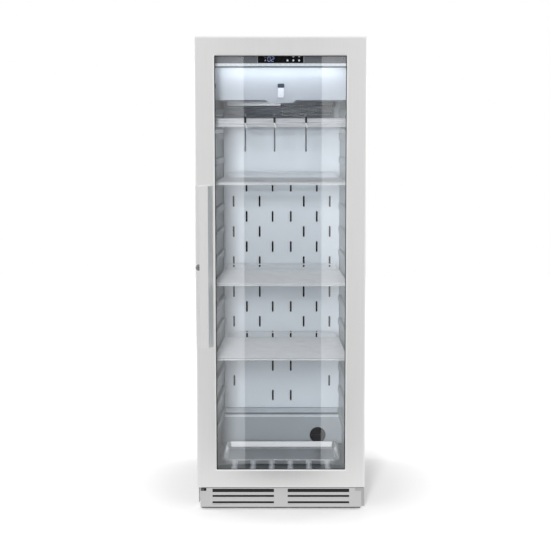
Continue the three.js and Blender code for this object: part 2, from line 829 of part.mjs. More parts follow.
function airSensor() {
  const bottom = coverBottom + sensorRise;
  const outline = rect(-sensorHalf, sensorHalf, bottom, bottom + sensorHeight);
  const back = coverFront - fitGap;
  return lofted('y', [
    [outline, 0, cornerRadius, back],
    [outline, 0, cornerRadius, back - sensorDepth + sensorBevel],
    [outline, -sensorBevel, cornerRadius, back - sensorDepth],
  ]);
}

piece('evaporator_cover', evaporatorCover(), whitePlastic);
piece('air_sensor', airSensor(), blackPlastic);

// Finned coils: fins on a bank of tubes, tube bends at both ends and two end plates
const finThickness = 1.2;
const finSpacing = 36;
const tubeRadius = 4.5;
const bendRise = 28;
const bendRound = 12.5;
const endPlate = 1.5;

// Fins stand across X; length, depth and height are the outside of the fin pack.
function coil(length, depth, height, plateTop, bends) {
  const half = length / 2;
  const bank = depth / 4;
  const count = Math.round((length - finThickness) / finSpacing) + 1;
  const pitch = (length - finThickness) / (count - 1);
  const comb = [];
  for (let i = 0; i < count; i += 1) {
    const x = -half + i * pitch;
    comb.push([x, -bank], [x, -depth / 2], [x + finThickness, -depth / 2], [x + finThickness, -bank]);
  }
  const behind = comb.map(([x, y]) => [x, -y]).reverse();
  const pack = prism('z', [...comb, ...behind], [0, height]);
  const reach = half + endPlate;
  const plates = [[-reach, -half], [half, reach]].map((span) => (
    box(span, [-depth / 2, depth / 2], [0, plateTop])
  ));
  const loops = [];
  for (let i = 0; i < bends; i += 1) {
    const low = (height * (i + 1 / 2)) / bends - bendRise / 2;
    for (const side of [-1, 1]) {
      const root = side * (reach - endPlate / 2);
      const tip = side * (reach + bendRise / 2);
      const line = [[root, 0, low], [tip, 0, low], [tip, 0, low + bendRise], [root, 0, low + bendRise]];
      loops.push(wire(route(line, bendRound), tubeRadius, false, crossSides));
    }
  }
  return fused([pack, ...plates, ...loops]);
}

const condenserDepth = 40;
const condenserHeight = 130;
const condenserEndGap = 21;
const condenserInset = 90;
const condenserLength = bayDepth - 2 * condenserEndGap;
const condenserX = bodyHalf - condenserInset;
const coilLoops = 2;

piece('evaporator_coil',
  coil(evaporatorLength, evaporatorDepth, evaporatorHeight, evaporatorDrop - fitGap, coilLoops),
  aluminium, [0, evaporatorFront + evaporatorDepth / 2, ceilingHeight - evaporatorDrop]);

// Fans: a square frame with struts and a motor hub, and a bladed rotor that turns in its bore
const fanSize = 120;
const fanDepth = 25;
const fanBore = 57;
const fanHub = 20;
const fanMotorDepth = 9;
const strutWidth = 6;
const strutDepth = 3;
const bladeCount = 7;
const bladeTip = 54;
const bladeThickness = 1.6;
const bladeRootAngle = THREE.MathUtils.degToRad(48);
const bladeTipAngle = THREE.MathUtils.degToRad(28);
const bladeRootChord = 13;
const bladeTipChord = 24;
const rotorDepth = fanDepth - fanMotorDepth - 2 * fitGap;

// Both are built about the shaft, which runs along Y; the frame's front face is at y = 0.
function fanFrame() {
  const half = fanSize / 2;
  const outer = roundedShape(-half, half, -half, half, cornerRadius * 2);
  outer.holes.push(new THREE.Path(circle(0, 0, fanBore).map(([u, v]) => new THREE.Vector2(u, v))));
  const motorFront = fanDepth - fanMotorDepth;
  const motor = pin('y', [0, 0], fanHub, [motorFront, fanDepth]);
  const reach = fanBore + weldSink;
  const struts = [
    box([-reach, reach], [fanDepth - strutDepth, fanDepth], [-strutWidth / 2, strutWidth / 2]),
    box([-strutWidth / 2, strutWidth / 2], [fanDepth - strutDepth, fanDepth], [-reach, reach]),
  ];
  return fused([prism('y', outer, [0, fanDepth], 1), motor, ...struts]);
}

function fanBlade(turn) {
  const stations = [
    [fanHub - strutDepth, bladeRootAngle, bladeRootChord],
    [(fanHub + bladeTip) / 2, (bladeRootAngle + bladeTipAngle) / 2, (bladeRootChord + bladeTipChord) / 2],
    [bladeTip, bladeTipAngle, bladeTipChord],
  ];
  const rings = stations.map(([radius, angle, chord]) => {
    const [along, rise] = [Math.cos(angle), Math.sin(angle)];
    const corners = [[-1, -1], [1, -1], [1, 1], [-1, 1]];
    return corners.map(([end, face]) => {
      const across = (end * chord * along) / 2 - (face * bladeThickness * rise) / 2;
      const depth = (end * chord * rise) / 2 + (face * bladeThickness * along) / 2;
      const place = turn + across / radius;
      return [radius * Math.cos(place), rotorDepth / 2 + depth, radius * Math.sin(place)];
    });
  });
  return stitched(rings);
}

function fanRotor() {
  const hub = pin('y', [0, 0], fanHub, [fitGap, rotorDepth]);
  const blades = Array.from({ length: bladeCount }, (_, i) => fanBlade((2 * Math.PI * i) / bladeCount));
  return fused([hub, ...blades]);
}

const evaporatorFanGap = 35;
const evaporatorFanY = coverBack - evaporatorFanGap - fanDepth;
const evaporatorFanZ = coverBottom + coverSheet + fitGap + fanSize / 2;
piece('evaporator_fan_frame', fanFrame(), blackPlastic, [0, evaporatorFanY, evaporatorFanZ]);
piece('evaporator_fan_rotor', fanRotor(), blackPlastic, [0, evaporatorFanY, evaporatorFanZ]);

// Cooling plant in the machine bay: compressor, fan and condenser in line across the bay
const bayFloor = baseHeight + casingSheet + fitGap;
const bayMiddle = (bayFront + backInner) / 2;
const quarterTurn = Math.PI / 2;
const condenserFanGap = 8;
const condenserFanX = condenserX - condenserDepth / 2 - condenserFanGap;

piece('condenser_coil', coil(condenserLength, condenserDepth, condenserHeight, condenserHeight, coilLoops),
  aluminium, [condenserX, bayMiddle, bayFloor], quarterTurn);
piece('condenser_fan_frame', fanFrame(), blackPlastic,
  [condenserFanX, bayMiddle, bayFloor + fanSize / 2], quarterTurn);
piece('condenser_fan_rotor', fanRotor(), blackPlastic,
  [condenserFanX, bayMiddle, bayFloor + fanSize / 2], quarterTurn);

const compressorInset = 173;
const compressorX = -bodyHalf + compressorInset;
const compressorLength = 186;
const compressorWidth = 122;
const compressorHeight = 118;
const mountPlate = 3;
const mountReach = 12;
const grommetRadius = 9;
const grommetHeight = 10;
const grommetInset = 16;
const seamFlange = 4;
const seamRise = 65;
const shellRound = 51;
const shellWaist = 49;
const shellFootDraw = 14;
const shellFootRound = 36;
const shellFootRise = 24;
const shellCrownDraw = 20;
const shellCrownRound = 31;
const shellCrownDrop = 19;
const terminalDepth = 12;
const terminalWidth = 46;
const terminalHeight = 40;
const panHeight = 24;
const panWall = 2;
const panMargin = 4;

function compressor() {
  const side = compressorLength / 2;
  const shell = rect(-side, side, -compressorWidth / 2, compressorWidth / 2);
  const plateBottom = grommetHeight;
  const plateTop = plateBottom + mountPlate;
  const bottom = plateTop - weldSink;
  const seam = bottom + seamRise;
  const top = bottom + compressorHeight;
  const dome = lofted('z', [
    [shell, -shellFootDraw, shellFootRound, bottom],
    [shell, -seamFlange, shellWaist, bottom + shellFootRise],
    [shell, -seamFlange, shellWaist, seam - seamFlange / 2],
    [shell, 0, shellRound, seam - seamFlange / 2],
    [shell, 0, shellRound, seam + seamFlange / 2],
    [shell, -seamFlange, shellWaist, seam + seamFlange / 2],
    [shell, -2 * seamFlange, shellWaist - seamFlange, top - shellCrownDrop],
    [shell, -shellCrownDraw, shellCrownRound, top],
  ]);
  const plate = lofted('z', [
    [shell, mountReach / 2, mountReach, plateBottom],
    [shell, mountReach / 2, mountReach, plateTop],
  ]);
  const u = side - grommetInset;
  const v = compressorWidth / 2 - grommetInset / 2;
  const grommets = [[-u, -v], [u, -v], [-u, v], [u, v]].map((place) => (
    pin('z', place, grommetRadius, [0, plateTop - mountPlate / 2], rodSides)
  ));
  const terminal = box(
    [side - seamFlange * 2, side + terminalDepth],
    [-terminalWidth / 2, terminalWidth / 2],
    [seam - terminalHeight, seam - seamFlange],
  );
  return fused([dome, plate, ...grommets, terminal]);
}

function evaporationPan() {
  const half = compressorLength / 2 - mountReach - seamFlange;
  const side = compressorWidth / 2 - seamFlange;
  const outline = rect(-half, half, -side, side);
  return lofted('z', [
    [outline, -panMargin, cornerRadius * 3, 0],
    [outline, 0, cornerRadius * 4, panHeight],
    [outline, -panWall, cornerRadius * 3, panHeight],
    [outline, -panMargin - panWall, cornerRadius * 2, panWall],
  ]);
}

piece('compressor', compressor(), blackSteel, [compressorX, bayMiddle, bayFloor]);
piece('evaporation_pan', evaporationPan(), blackPlastic, [compressorX, bayMiddle,
  bayFloor + grommetHeight + mountPlate - weldSink + compressorHeight + fitGap]);

// Plinth grille under the door
const plinthInset = 11.5;
const plinthBottom = 7.5;
const plinthSetback = 2;
const plinthSheet = 1.5;
const plinthTopFlange = 18;
const notchWidth = 21;
const notchHeight = 11;
const grilleGap = 24.5;
const grilleInset = 43;
const inletDrop = 9.5;
const inletHeight = 12;
const louvreSlotHeight = 6.5;
const louvreDrop = 29.5;
const louvreRowSpacing = 23;
const louvreRows = 2;
const louvreLip = 3;
const louvreSkirt = 8;
const plinthHalf = doorHalf - plinthInset;
const plinthTop = doorBottom - runGap;
const plinthFront = doorFront + plinthSetback;
const grilleEnd = plinthHalf - grilleInset;

function plinthGrille() {
  const end = bodyFront - fitGap;
  const plan = folded([
    [-plinthHalf, end], [-plinthHalf, plinthFront], [plinthHalf, plinthFront], [plinthHalf, end],
  ], plinthSheet);
  const shell = prism('z', plan, [plinthBottom, plinthTop]);
  const flange = box([-plinthHalf + plinthSheet / 2, plinthHalf - plinthSheet / 2],
    [plinthFront + plinthSheet / 2, plinthFront + plinthTopFlange], [plinthTop - plinthSheet, plinthTop]);
  const lips = [];
  const slots = [];
  const through = [plinthFront - overrun, plinthFront + plinthSheet + weldSink];
  const slotAt = (span, middle, height) => box(span, through, [middle - height / 2, middle + height / 2]);
  for (const span of [[-grilleEnd, -grilleGap], [grilleGap, grilleEnd]]) {
    slots.push(slotAt(span, plinthTop - inletDrop, inletHeight));
    for (let row = 0; row < louvreRows; row += 1) {
      const middle = plinthTop - louvreDrop - row * louvreRowSpacing;
      const sill = middle - louvreSlotHeight / 2;
      slots.push(slotAt(span, middle, louvreSlotHeight));
      lips.push(prism('x', [
        [plinthFront + plinthSheet / 2, sill + weldSink], [plinthFront - louvreLip, sill + weldSink / 2],
        [plinthFront - louvreLip, sill - plinthSheet / 2],
        [plinthFront + plinthSheet / 2, sill - louvreSkirt],
      ], span));
    }
  }
  const notch = box(
    [plinthHalf - notchWidth, plinthHalf + overrun],
    [plinthFront - overrun, bodyFront],
    [plinthTop - notchHeight, plinthTop + overrun],
  );
  return without(shell.add(flange), [...slots, notch, mirrored(notch)]).add(fused(lips));
}

piece('plinth_grille', plinthGrille(), stainless);

// Hinges: brackets on the body, each with a pin in the door's right end
const hingeInset = 10;
const hingeSetback = 30;
const hingePlate = 4;
const hingePin = 4;
const hingePinLength = 19;
const lugHalf = 9;
const hingeX = doorHalf - hingeInset;
const hingeY = doorFront + hingeSetback;
const topPlateBottom = bodyTop + fitGap;
const bottomPlateTop = doorBottom - runGap;
const topPlateDepth = 70;
const topPlateWidth = 56;
const bracketLegBottom = 20;

function hingeLug([z0, z1], backY) {
  const shape = new THREE.Shape();
  shape.moveTo(hingeX + lugHalf, backY);
  shape.lineTo(hingeX - lugHalf, backY);
  shape.lineTo(hingeX - lugHalf, hingeY);
  shape.absarc(hingeX, hingeY, lugHalf, Math.PI, 2 * Math.PI);
  return prism('z', shape, [z0, z1], 4);
}

function hingeTop() {
  const level = [topPlateBottom, topPlateBottom + hingePlate];
  const edge = Math.min(hingeX + lugHalf, bodyHalf);
  const plate = box([edge - topPlateWidth, edge], [sideFront, sideFront + topPlateDepth], level);
  const lug = hingeLug(level, sideFront + overrun);
  const post = pin('z', [hingeX, hingeY], hingePin, [topPlateBottom - hingePinLength, level[1]]);
  return fused([plate, lug, post]);
}

function hingeBottom() {
  const level = [bottomPlateTop - hingePlate, bottomPlateTop];
  const right = hingeX + lugHalf;
  const innerEdge = plinthHalf - notchWidth + fitGap;
  const outerEdge = plinthHalf + fitGap;
  const back = bodyFront - fitGap;
  const lug = hingeLug(level, back);
  const shelf = box([innerEdge, right], [plinthFront, back], level);
  const fill = box([innerEdge, right], [plinthFront, plinthFront + plinthSheet],
    [plinthTop - notchHeight + fitGap, bottomPlateTop]);
  const cheek = box([outerEdge, right], [plinthFront, plinthFront + plinthSheet],
    [plinthBottom + overrun, bottomPlateTop]);
  const leg = box([outerEdge, right], [back - hingePlate, back], [bracketLegBottom, bottomPlateTop]);
  const post = pin('z', [hingeX, hingeY], hingePin, [level[0], bottomPlateTop + hingePinLength]);
  return fused([lug, shelf, fill, cheek, leg, post]);
}

piece('hinge_top', hingeTop(), stainless);
piece('hinge_bottom', hingeBottom(), stainless);

// Lock on the door's left stile: behind the door its cam turns in behind a keeper on the front frame
const lockInset = 12.5;
const lockRise = 789;
const lockRingRadius = 11;
const lockRingDepth = 4;
const lockBarrelRadius = 8;
const lockShaftRadius = 4.2;
const camReach = 13;
const camWidth = 9;
const camThickness = 2.5;
const keeperSheet = 1.5;
const keeperHeight = 16;
const lockX = -doorHalf + lockInset;
const lockHeight = doorBottom + lockRise;
const keeperFront = doorBack + runGap + fitGap;
const camFront = keeperFront + keeperSheet + runGap;

function lockKeeper() {
  const leg = lockX + Math.hypot(camReach, camWidth / 2) + runGap;
  const plan = folded([
    [lockX + camWidth / 2 + runGap, keeperFront + keeperSheet], [leg, keeperFront + keeperSheet],
    [leg, bodyFront - fitGap],
  ].reverse(), keeperSheet);
  return prism('z', plan, [lockHeight - keeperHeight / 2, lockHeight + keeperHeight / 2]);
}

piece('lock_keeper', lockKeeper(), zincSteel);

// Door: steel skin, inner frame with hinge blocks, insulating glass, gasket
const stileWidth = 70;
const railWidth = 66;
const doorSkin = 1.2;
const edgeFold = 5;
const glassChamfer = 4;
const glassRecess = 3.5;
const paneTuck = 12;
const outerPaneThickness = 4;
const innerPaneThickness = 4;
const paneSpace = 16;
const spacerWidth = 8;
const innerFrameWall = 3;
const hingeBlock = 26;
const hingeBlockDepth = 24;
const gasketMargin = 13;
const gasketBase = 12;
const gasketWaist = 5;
const gasketMagnet = 10;
const recessMargin = 2;

const doorRect = rect(-doorHalf, doorHalf, doorBottom, doorTop);
const glassHalf = doorHalf - stileWidth;
const glassRect = rect(-glassHalf, glassHalf, doorBottom + railWidth, doorTop - railWidth);
const outerPaneFront = doorFront + glassRecess + fitGap;
const outerPaneBack = outerPaneFront + outerPaneThickness;
const spacerFront = outerPaneBack + fitGap;
const spacerBack = spacerFront + paneSpace;
const innerPaneFront = spacerBack + fitGap;
const innerPaneBack = innerPaneFront + innerPaneThickness;
const hingeBore = pin('z', [hingeX, hingeY], hingePin + fitGap, [doorBottom - overrun, doorTop + overrun]);

// The pocket in the door's top corner that the upper hinge plate swings in.
function hingeRecess() {
  return box([hingeX - lugHalf - recessMargin, doorHalf + overrun],
    [doorFront + doorSkin + recessMargin, doorBack + overrun],
    [topPlateBottom - runGap, doorTop + overrun]);
}

function lockBore(radius) {
  return pin('y', [lockX, lockHeight], radius, [doorFront - 2 * overrun, doorBack + overrun]);
}

function doorFrame() {
  const slope = edgeFold * (1 - Math.SQRT1_2);
  const ring = lofted('y', [
    [doorRect, 0, cornerRadius, doorFront + edgeFold],
    [doorRect, -slope, cornerRadius, doorFront + slope],
    [doorRect, -edgeFold, cornerRadius, doorFront],
    [glassRect, glassChamfer, cornerRadius, doorFront],
    [glassRect, 0, cornerRadius / 2, doorFront + glassRecess],
    [glassRect, doorSkin, cornerRadius / 2, doorFront + glassRecess],
    [glassRect, glassChamfer + doorSkin / 2, cornerRadius, doorFront + doorSkin],
    [doorRect, -edgeFold, cornerRadius, doorFront + doorSkin],
    [doorRect, -doorSkin, cornerRadius / 2, doorFront + edgeFold],
    [doorRect, -doorSkin, cornerRadius / 2, doorBack],
    [doorRect, 0, cornerRadius, doorBack],
  ], true);
  return without(ring, [hingeRecess(), hingeBore, lockBore(lockBarrelRadius + fitGap)]);
}

function doorInnerFrame() {
  const seat = innerPaneBack + fitGap;
  const mouth = doorFront + doorSkin + runGap;
  const plateFront = doorBack - innerFrameWall;
  const pocket = paneTuck + fitGap;
  const inset = -(doorSkin + fitGap);
  const ring = lofted('y', [
    [glassRect, 0, cornerRadius, seat],
    [glassRect, pocket, cornerRadius, seat],
    [glassRect, pocket, cornerRadius, mouth],
    [glassRect, pocket + innerFrameWall, cornerRadius, mouth],
    [glassRect, pocket + innerFrameWall, cornerRadius, plateFront],
    [doorRect, inset, cornerRadius, plateFront],
    [doorRect, inset, cornerRadius, doorBack],
    [glassRect, 0, cornerRadius, doorBack],
  ], true);
  const right = doorHalf - doorSkin - fitGap;
  const blockBack = plateFront + innerFrameWall / 2;
  const blocks = [
    [doorBottom + cornerRadius, doorBottom + hingeBlock],
    [topPlateBottom - runGap - hingeBlock, topPlateBottom - runGap],
  ].map((level) => box([hingeX - hingeBlock / 2, right], [blockBack - hingeBlockDepth, blockBack], level));
  return without(fused([ring, ...blocks]), [hingeRecess(), hingeBore, lockBore(lockBarrelRadius + fitGap)]);
}

function paneSpacer() {
  return lofted('y', [
    [glassRect, paneTuck - spacerWidth, cornerRadius, spacerFront],
    [glassRect, paneTuck, cornerRadius, spacerFront],
    [glassRect, paneTuck, cornerRadius, spacerBack],
    [glassRect, paneTuck - spacerWidth, cornerRadius, spacerBack],
  ], true);
}

function pane(front, thickness) {
  return lofted('y', [
    [glassRect, paneTuck, cornerRadius, front], [glassRect, paneTuck, cornerRadius, front + thickness],
  ]);
}

function doorGasket() {
  const start = doorBack + fitGap;
  const end = bodyFront - fitGap;
  const third = (end - start) / 3;
  const steps = [
    [gasketBase, start], [gasketBase, start + third], [gasketWaist, start + third],
    [gasketWaist, end - third], [gasketMagnet, end - third], [gasketMagnet, end],
  ];
  const side = (sign, radius) => steps.map(([width, y]) => (
    [openingRect, gasketMargin + (sign * width) / 2, radius, y]
  ));
  const inner = side(-1, cornerRadius * 2);
  const outer = side(1, cornerRadius * 4);
  return lofted('y', [...inner, ...outer.reverse()], true, 1);
}

// Lock cylinder: ring, barrel through the door, shaft and cam, built about its own axis
function lockCylinder() {
  const face = -handleBaseThickness - lockRingDepth - fitGap;
  const [camStart, camEnd] = [camFront - doorFront, camFront - doorFront + camThickness];
  const profile = [
    [0, face], [lockRingRadius, face],
    [lockRingRadius, face + lockRingDepth], [lockBarrelRadius, face + lockRingDepth],
    [lockBarrelRadius, doorThickness], [lockShaftRadius, doorThickness],
    [lockShaftRadius, camEnd], [0, camEnd],
  ];
  const lathe = new THREE.LatheGeometry(profile.map(([r, y]) => new THREE.Vector2(r, y)), roundSides);
  const cam = box([-camWidth / 2, camWidth / 2], [camStart, camEnd], [-camWidth / 2, camReach]);
  const keyway = box([-weldSink, weldSink], [face - overrun, face + lockRingDepth], [-overrun, overrun]);
  return toSolid(lathe).add(cam).subtract(keyway);
}

// Handle: a flat base strip and an angled pull open towards the door's free edge
const handleInset = 2;
const handleWidth = 60;
const handleRise = 510;
const handleLength = 564;
const handleBaseThickness = 2.5;
const handleLandInset = 17;
const handleLandWidth = 30;
const handleWall = 3;
const handleLip = 5;
const handleEnd = 4;
const handleBottom = doorBottom + handleRise;
const handleTop = handleBottom + handleLength;
const handleLeft = -doorHalf + handleInset;
const handleStrip = rect(handleLeft, handleLeft + handleWidth, handleBottom, handleTop);

function handleBase() {
  const front = doorFront - handleBaseThickness;
  const strip = roundedShape(handleStrip.left, handleStrip.right, handleBottom, handleTop, cornerRadius);
  return without(prism('y', strip, [front, doorFront - fitGap]), [lockBore(lockBarrelRadius + fitGap)]);
}

function handleBar() {
  const foot = doorFront - handleBaseThickness - fitGap;
  const front = doorFront - handleProjection;
  const left = -doorHalf + handleLandInset;
  const right = left + handleLandWidth;
  const end = handleStrip.right;
  const section = folded([
    [end - edgeFold * 3, foot], [end, foot], [right, front], [left, front], [left, front + handleLip],
  ].reverse(), handleWall);
  const bar = prism('z', section, [handleBottom, handleTop]);
  const caps = [handleBottom, handleTop - handleEnd].map((z) => prism('z', [
    [end, foot], [right, front], [left, front], [left, front + handleLip * 2],
    [right - handleLip, foot],
  ], [z, z + handleEnd]));
  return fused([bar, ...caps]);
}

piece('door_frame', doorFrame(), stainless);
piece('door_inner_frame', doorInnerFrame(), blackPlastic);
piece('outer_pane', pane(outerPaneFront, outerPaneThickness), clearGlass);
piece('pane_spacer', paneSpacer(), blackPlastic);
piece('inner_pane', pane(innerPaneFront, innerPaneThickness), clearGlass);
piece('door_gasket', doorGasket(), rubber);
piece('handle_base', handleBase(), stainless);
piece('handle_bar', handleBar(), stainless);
piece('lock_cylinder', lockCylinder(), zincSteel, [lockX, doorFront, lockHeight]);

// Wire shelves on the wall ribs
const shelfRibs = { shelf_top: 3, shelf_middle: 7, shelf_bottom: 10 };
const shelfSetback = 32;
const shelfBackGap = 62;
const shelfSideGap = 4;
const frameRod = 3;
const crossWire = 2;
const crossSpacing = 42;
const shelfBend = 14;
const stopHeight = 24;
const stopInset = 10;
const stopRadius = 2.5;

function wireShelf(seat) {
  const front = bodyFront + shelfSetback + frameRod;
  const back = ductFront - shelfBackGap - frameRod;
  const halfAt = (y) => wallAt(y) - shelfSideGap - frameRod;
  const level = seat + fitGap + frameRod;
  const top = level + frameRod + crossWire - weldSink;
  const rim = wire(route([
    [-halfAt(front), front, level], [halfAt(front), front, level],
    [halfAt(back), back, level], [-halfAt(back), back, level],
  ], shelfBend, true), frameRod, true);
  const count = Math.round((back - front) / crossSpacing);
  const wires = Array.from({ length: count }, (_, i) => {
    const y = front + crossWire + ((back - front - 2 * crossWire) * i) / (count - 1);
    const half = halfAt(y) - (i % (count - 1) === 0 ? shelfBend : 0);
    return rod([-half, y, top], [half, y, top], crossWire, crossSides);
  });
  const spine = rod([0, front, level], [0, back, level], frameRod);
  const stopHalf = halfAt(back) - stopInset;
  const stop = wire(route([
    [-stopHalf, back, level], [-stopHalf, back, level + stopHeight],
    [stopHalf, back, level + stopHeight], [stopHalf, back, level],
  ], shelfBend), stopRadius);
  return fused([rim, spine, ...wires, stop]);
}

for (const [name, rib] of Object.entries(shelfRibs)) piece(name, wireShelf(seatOf(rib)), brightSteel);

// Hanging rack: flat bars front and back on two side runners
const rackRib = 1;
const rackSetback = 37;
const rackBackGap = 98;
const rackRise = 55;
const rackBarHeight = 30;
const rackSheet = 2;
const rackRunner = 14;
const rackCorner = 12;
const rackSideGap = 8;
const rackLegWidth = 20;
const rackFoot = 5;
const rackFront = bodyFront + rackSetback;
const rackBack = ductFront - rackBackGap - rackSheet;
const rackBarTop = seatOf(rackRib) + rackRise;

function rackBar(y) {
  const half = wallAt(y) - rackSideGap;
  const bottom = rackBarTop - rackBarHeight;
  const shape = new THREE.Shape();
  shape.moveTo(-half, bottom);
  shape.lineTo(half, bottom);
  shape.absarc(half - rackCorner, rackBarTop - rackCorner, rackCorner, 0, Math.PI / 2);
  shape.absarc(-half + rackCorner, rackBarTop - rackCorner, rackCorner, Math.PI / 2, Math.PI);
  return prism('y', shape, [y, y + rackSheet], 3);
}

function rackSide() {
  const seat = seatOf(rackRib) + fitGap;
  const outer = cavityHalfWidth - rackSideGap;
  const end = rackBack + rackSheet;
  const outline = [
    [rackFront, seat], [end, seat],
    [end, rackBarTop - rackCorner], [end - rackLegWidth, rackBarTop - rackCorner],
    [end - rackLegWidth, seat + rackRunner], [rackFront + rackLegWidth, seat + rackRunner],
    [rackFront + rackLegWidth, rackBarTop - rackCorner], [rackFront, rackBarTop - rackCorner],
  ];
  const side = prism('x', outline, [outer - rackSheet, outer]);
  const foot = box([outer - rackSheet / 2, outer + rackFoot], [rackFront, end], [seat, seat + rackSheet]);
  return leaned(side.add(foot));
}

function hangingRack() {
  const side = rackSide();
  return fused([rackBar(rackFront), rackBar(rackBack), side, mirrored(side)]);
}

// Hooks hang over the front bar and are built about the point where they bear on its top edge
const hookWire = 2.5;
const hookReach = 11;
const hookTip = 34;
const hookLength = 117;
const hookTipUp = 26;
const hookLean = 5;
const hookPlaces = { hook_left: -125, hook_middle: -22, hook_right: 89 };

function hook() {
  const crown = fitGap + hookWire;
  return wire(route([
    [0, -hookReach, -hookTip], [0, -hookReach, crown], [0, hookReach, crown],
    [0, hookReach - hookLean, hookWire - hookLength], [0, -hookReach - hookLean, hookWire - hookLength],
    [0, -hookReach - hookLean, hookWire - hookLength + hookTipUp],
  ], hookReach - weldSink), hookWire);
}

piece('hanging_rack', hangingRack(), stainless);
for (const [name, x] of Object.entries(hookPlaces)) {
  piece(name, hook(), brightSteel, [x, rackFront + rackSheet / 2, rackBarTop]);
}

// Drip tray on the floor ribs
const traySideInset = 31.5;
const traySetback = 67;
const trayBackGap = 68;
const trayRise = 27;
const trayWall = 1.5;
const trayFlange = 7;
const trayRoll = 5;
const trayTaper = 8;
const trayCorner = 22;

function dripTray() {
  const front = bodyFront + traySetback;
  const trayHalf = cavityHalfWidth - traySideInset;
  const trayRim = floorHeight + trayRise;
  const outline = grown(rect(-trayHalf, trayHalf, front, humpFront - trayBackGap), -trayFlange);
  const bottom = floorHeight + floorRibHeight + fitGap;
  return lofted('z', [
    [outline, -trayTaper, trayCorner - trayTaper, bottom],
    [outline, 0, trayCorner, trayRim - trayWall],
    [outline, trayFlange - trayWall, trayCorner + trayFlange, trayRim - trayWall],
    [outline, trayFlange - trayWall, trayCorner + trayFlange, trayRim - trayRoll],
    [outline, trayFlange, trayCorner + trayFlange, trayRim - trayRoll],
    [outline, trayFlange, trayCorner + trayFlange, trayRim],
    [outline, -trayWall, trayCorner - trayWall, trayRim],
    [outline, -trayTaper - trayWall, trayCorner - trayTaper - trayWall, bottom + trayWall],
  ], false, 3);
}

piece('drip_tray', dripTray(), stainless);

export default cabinet;
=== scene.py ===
import json
import math

import bmesh
import bpy
from mathutils import Matrix, Vector


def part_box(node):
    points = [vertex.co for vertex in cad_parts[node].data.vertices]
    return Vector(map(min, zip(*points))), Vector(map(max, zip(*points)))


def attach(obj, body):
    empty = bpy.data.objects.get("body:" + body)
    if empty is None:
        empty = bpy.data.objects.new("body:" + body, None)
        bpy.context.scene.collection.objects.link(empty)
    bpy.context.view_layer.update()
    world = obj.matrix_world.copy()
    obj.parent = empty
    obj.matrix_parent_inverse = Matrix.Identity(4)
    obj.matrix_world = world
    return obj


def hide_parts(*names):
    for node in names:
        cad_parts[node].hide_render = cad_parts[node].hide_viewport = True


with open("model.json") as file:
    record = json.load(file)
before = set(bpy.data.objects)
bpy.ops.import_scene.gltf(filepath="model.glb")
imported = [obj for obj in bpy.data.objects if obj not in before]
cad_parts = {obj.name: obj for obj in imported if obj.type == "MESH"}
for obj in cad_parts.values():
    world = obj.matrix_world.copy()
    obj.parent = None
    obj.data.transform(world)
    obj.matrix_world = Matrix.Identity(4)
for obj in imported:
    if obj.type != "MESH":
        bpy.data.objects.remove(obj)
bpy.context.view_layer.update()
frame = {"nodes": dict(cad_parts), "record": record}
nodes = frame["nodes"]

MM = 0.001

# Camera and studio
CAMERA_PLACE = (29.5 * MM, -4446.8 * MM, 1375.1 * MM)
CAMERA_LENS = 78.3
CAMERA_SENSOR = 36
CAMERA_PITCH = math.radians(5.81)
CAMERA_SHIFT = (-0.0257, -0.0588)
CAMERA_REACH = 100
FLOOR_HALF = 6000 * MM
FLOOR_LIFT = 0.26
FLOOR_NEAR = 420 * MM
FLOOR_FAR = 1300 * MM
FLOOR_MIRRORED = 0.9
WORLD_LIGHT = 0.32
REFLECTED_CARD_Y = -5300 * MM
REFLECTED_CARD_X = (-316 * MM, 278 * MM)
REFLECTED_CARD_Z = (-400 * MM, 3600 * MM)
FADED_CARD_X = (-620 * MM, -316 * MM)
FADED_CARD_LOW = 0.3
FLOOR_CARD_GAP = 400 * MM
FLOOR_CARD_LIGHT = 0.1
FLOOR_CARD_Z = 2 * MM

# Edges
FINE_EDGE = 0.35 * MM
SOFT_EDGE = 0.8 * MM
WELD = 0.01 * MM
FLAT_ANGLE = math.radians(1.2)
EDGE_ANGLE = math.radians(28)
EDGE_SEGMENTS = 2
SMOOTH_ANGLE = math.radians(40)
STEEP = 0.7

# Facet counts
ROD_SIDES = 14
WIRE_SIDES = 8
TUBE_SIDES = 16
ROUND_SIDES = 56
SMALL_ROUND_SIDES = 28
SCREW_SIDES = 20
BEND_STEPS = 8
CORNER_STEPS = 6
SMALL_CORNER_STEPS = 3
EDGE_STEPS = 3
ROUND_END_SHARE = 0.999

# Sizes that several pieces share
DRAFT = math.tan(math.radians(1.95))
FIT_GAP = 0.3 * MM
GLASS_TUCK = 12 * MM

# Depth of the fine relief of each finish
STREAK_RELIEF = 0.05 * MM
MARK_RELIEF = 0.01 * MM
GRAIN_RELIEF = 0.06 * MM
COAT_RELIEF = 0.12 * MM
SPANGLE_RELIEF = 0.2 * MM
CELL_RELIEF = 0.2 * MM

# Stretch of the noise that makes the streaks of brushed sheet
UPRIGHT = (900.0, 900.0, 9.0)
LEVEL = (9.0, 900.0, 900.0)
FIN_STREAKS = (700.0, 700.0, 20.0)
LINER_GRAIN = 900.0

WHITE = (1.0, 1.0, 1.0, 1.0)
NOISE_RANGE = (0.25, 0.75)
GLASS_MIRROR_SHARE = 0.042


# Node trees
def add(tree, kind, settings=None, inputs=None):
    """A shader node of a kind; an input is either a value or the socket that feeds it."""
    node = tree.nodes.new("ShaderNode" + kind)
    for key, value in (settings or {}).items():
        setattr(node, key, value)
    fill(tree, node, inputs or {})
    return node


def fill(tree, node, inputs):
    for key, value in inputs.items():
        if isinstance(value, bpy.types.NodeSocket):
            tree.links.new(value, node.inputs[key])
        else:
            node.inputs[key].default_value = value


def object_place(tree):
    return add(tree, "TexCoord").outputs["Object"]


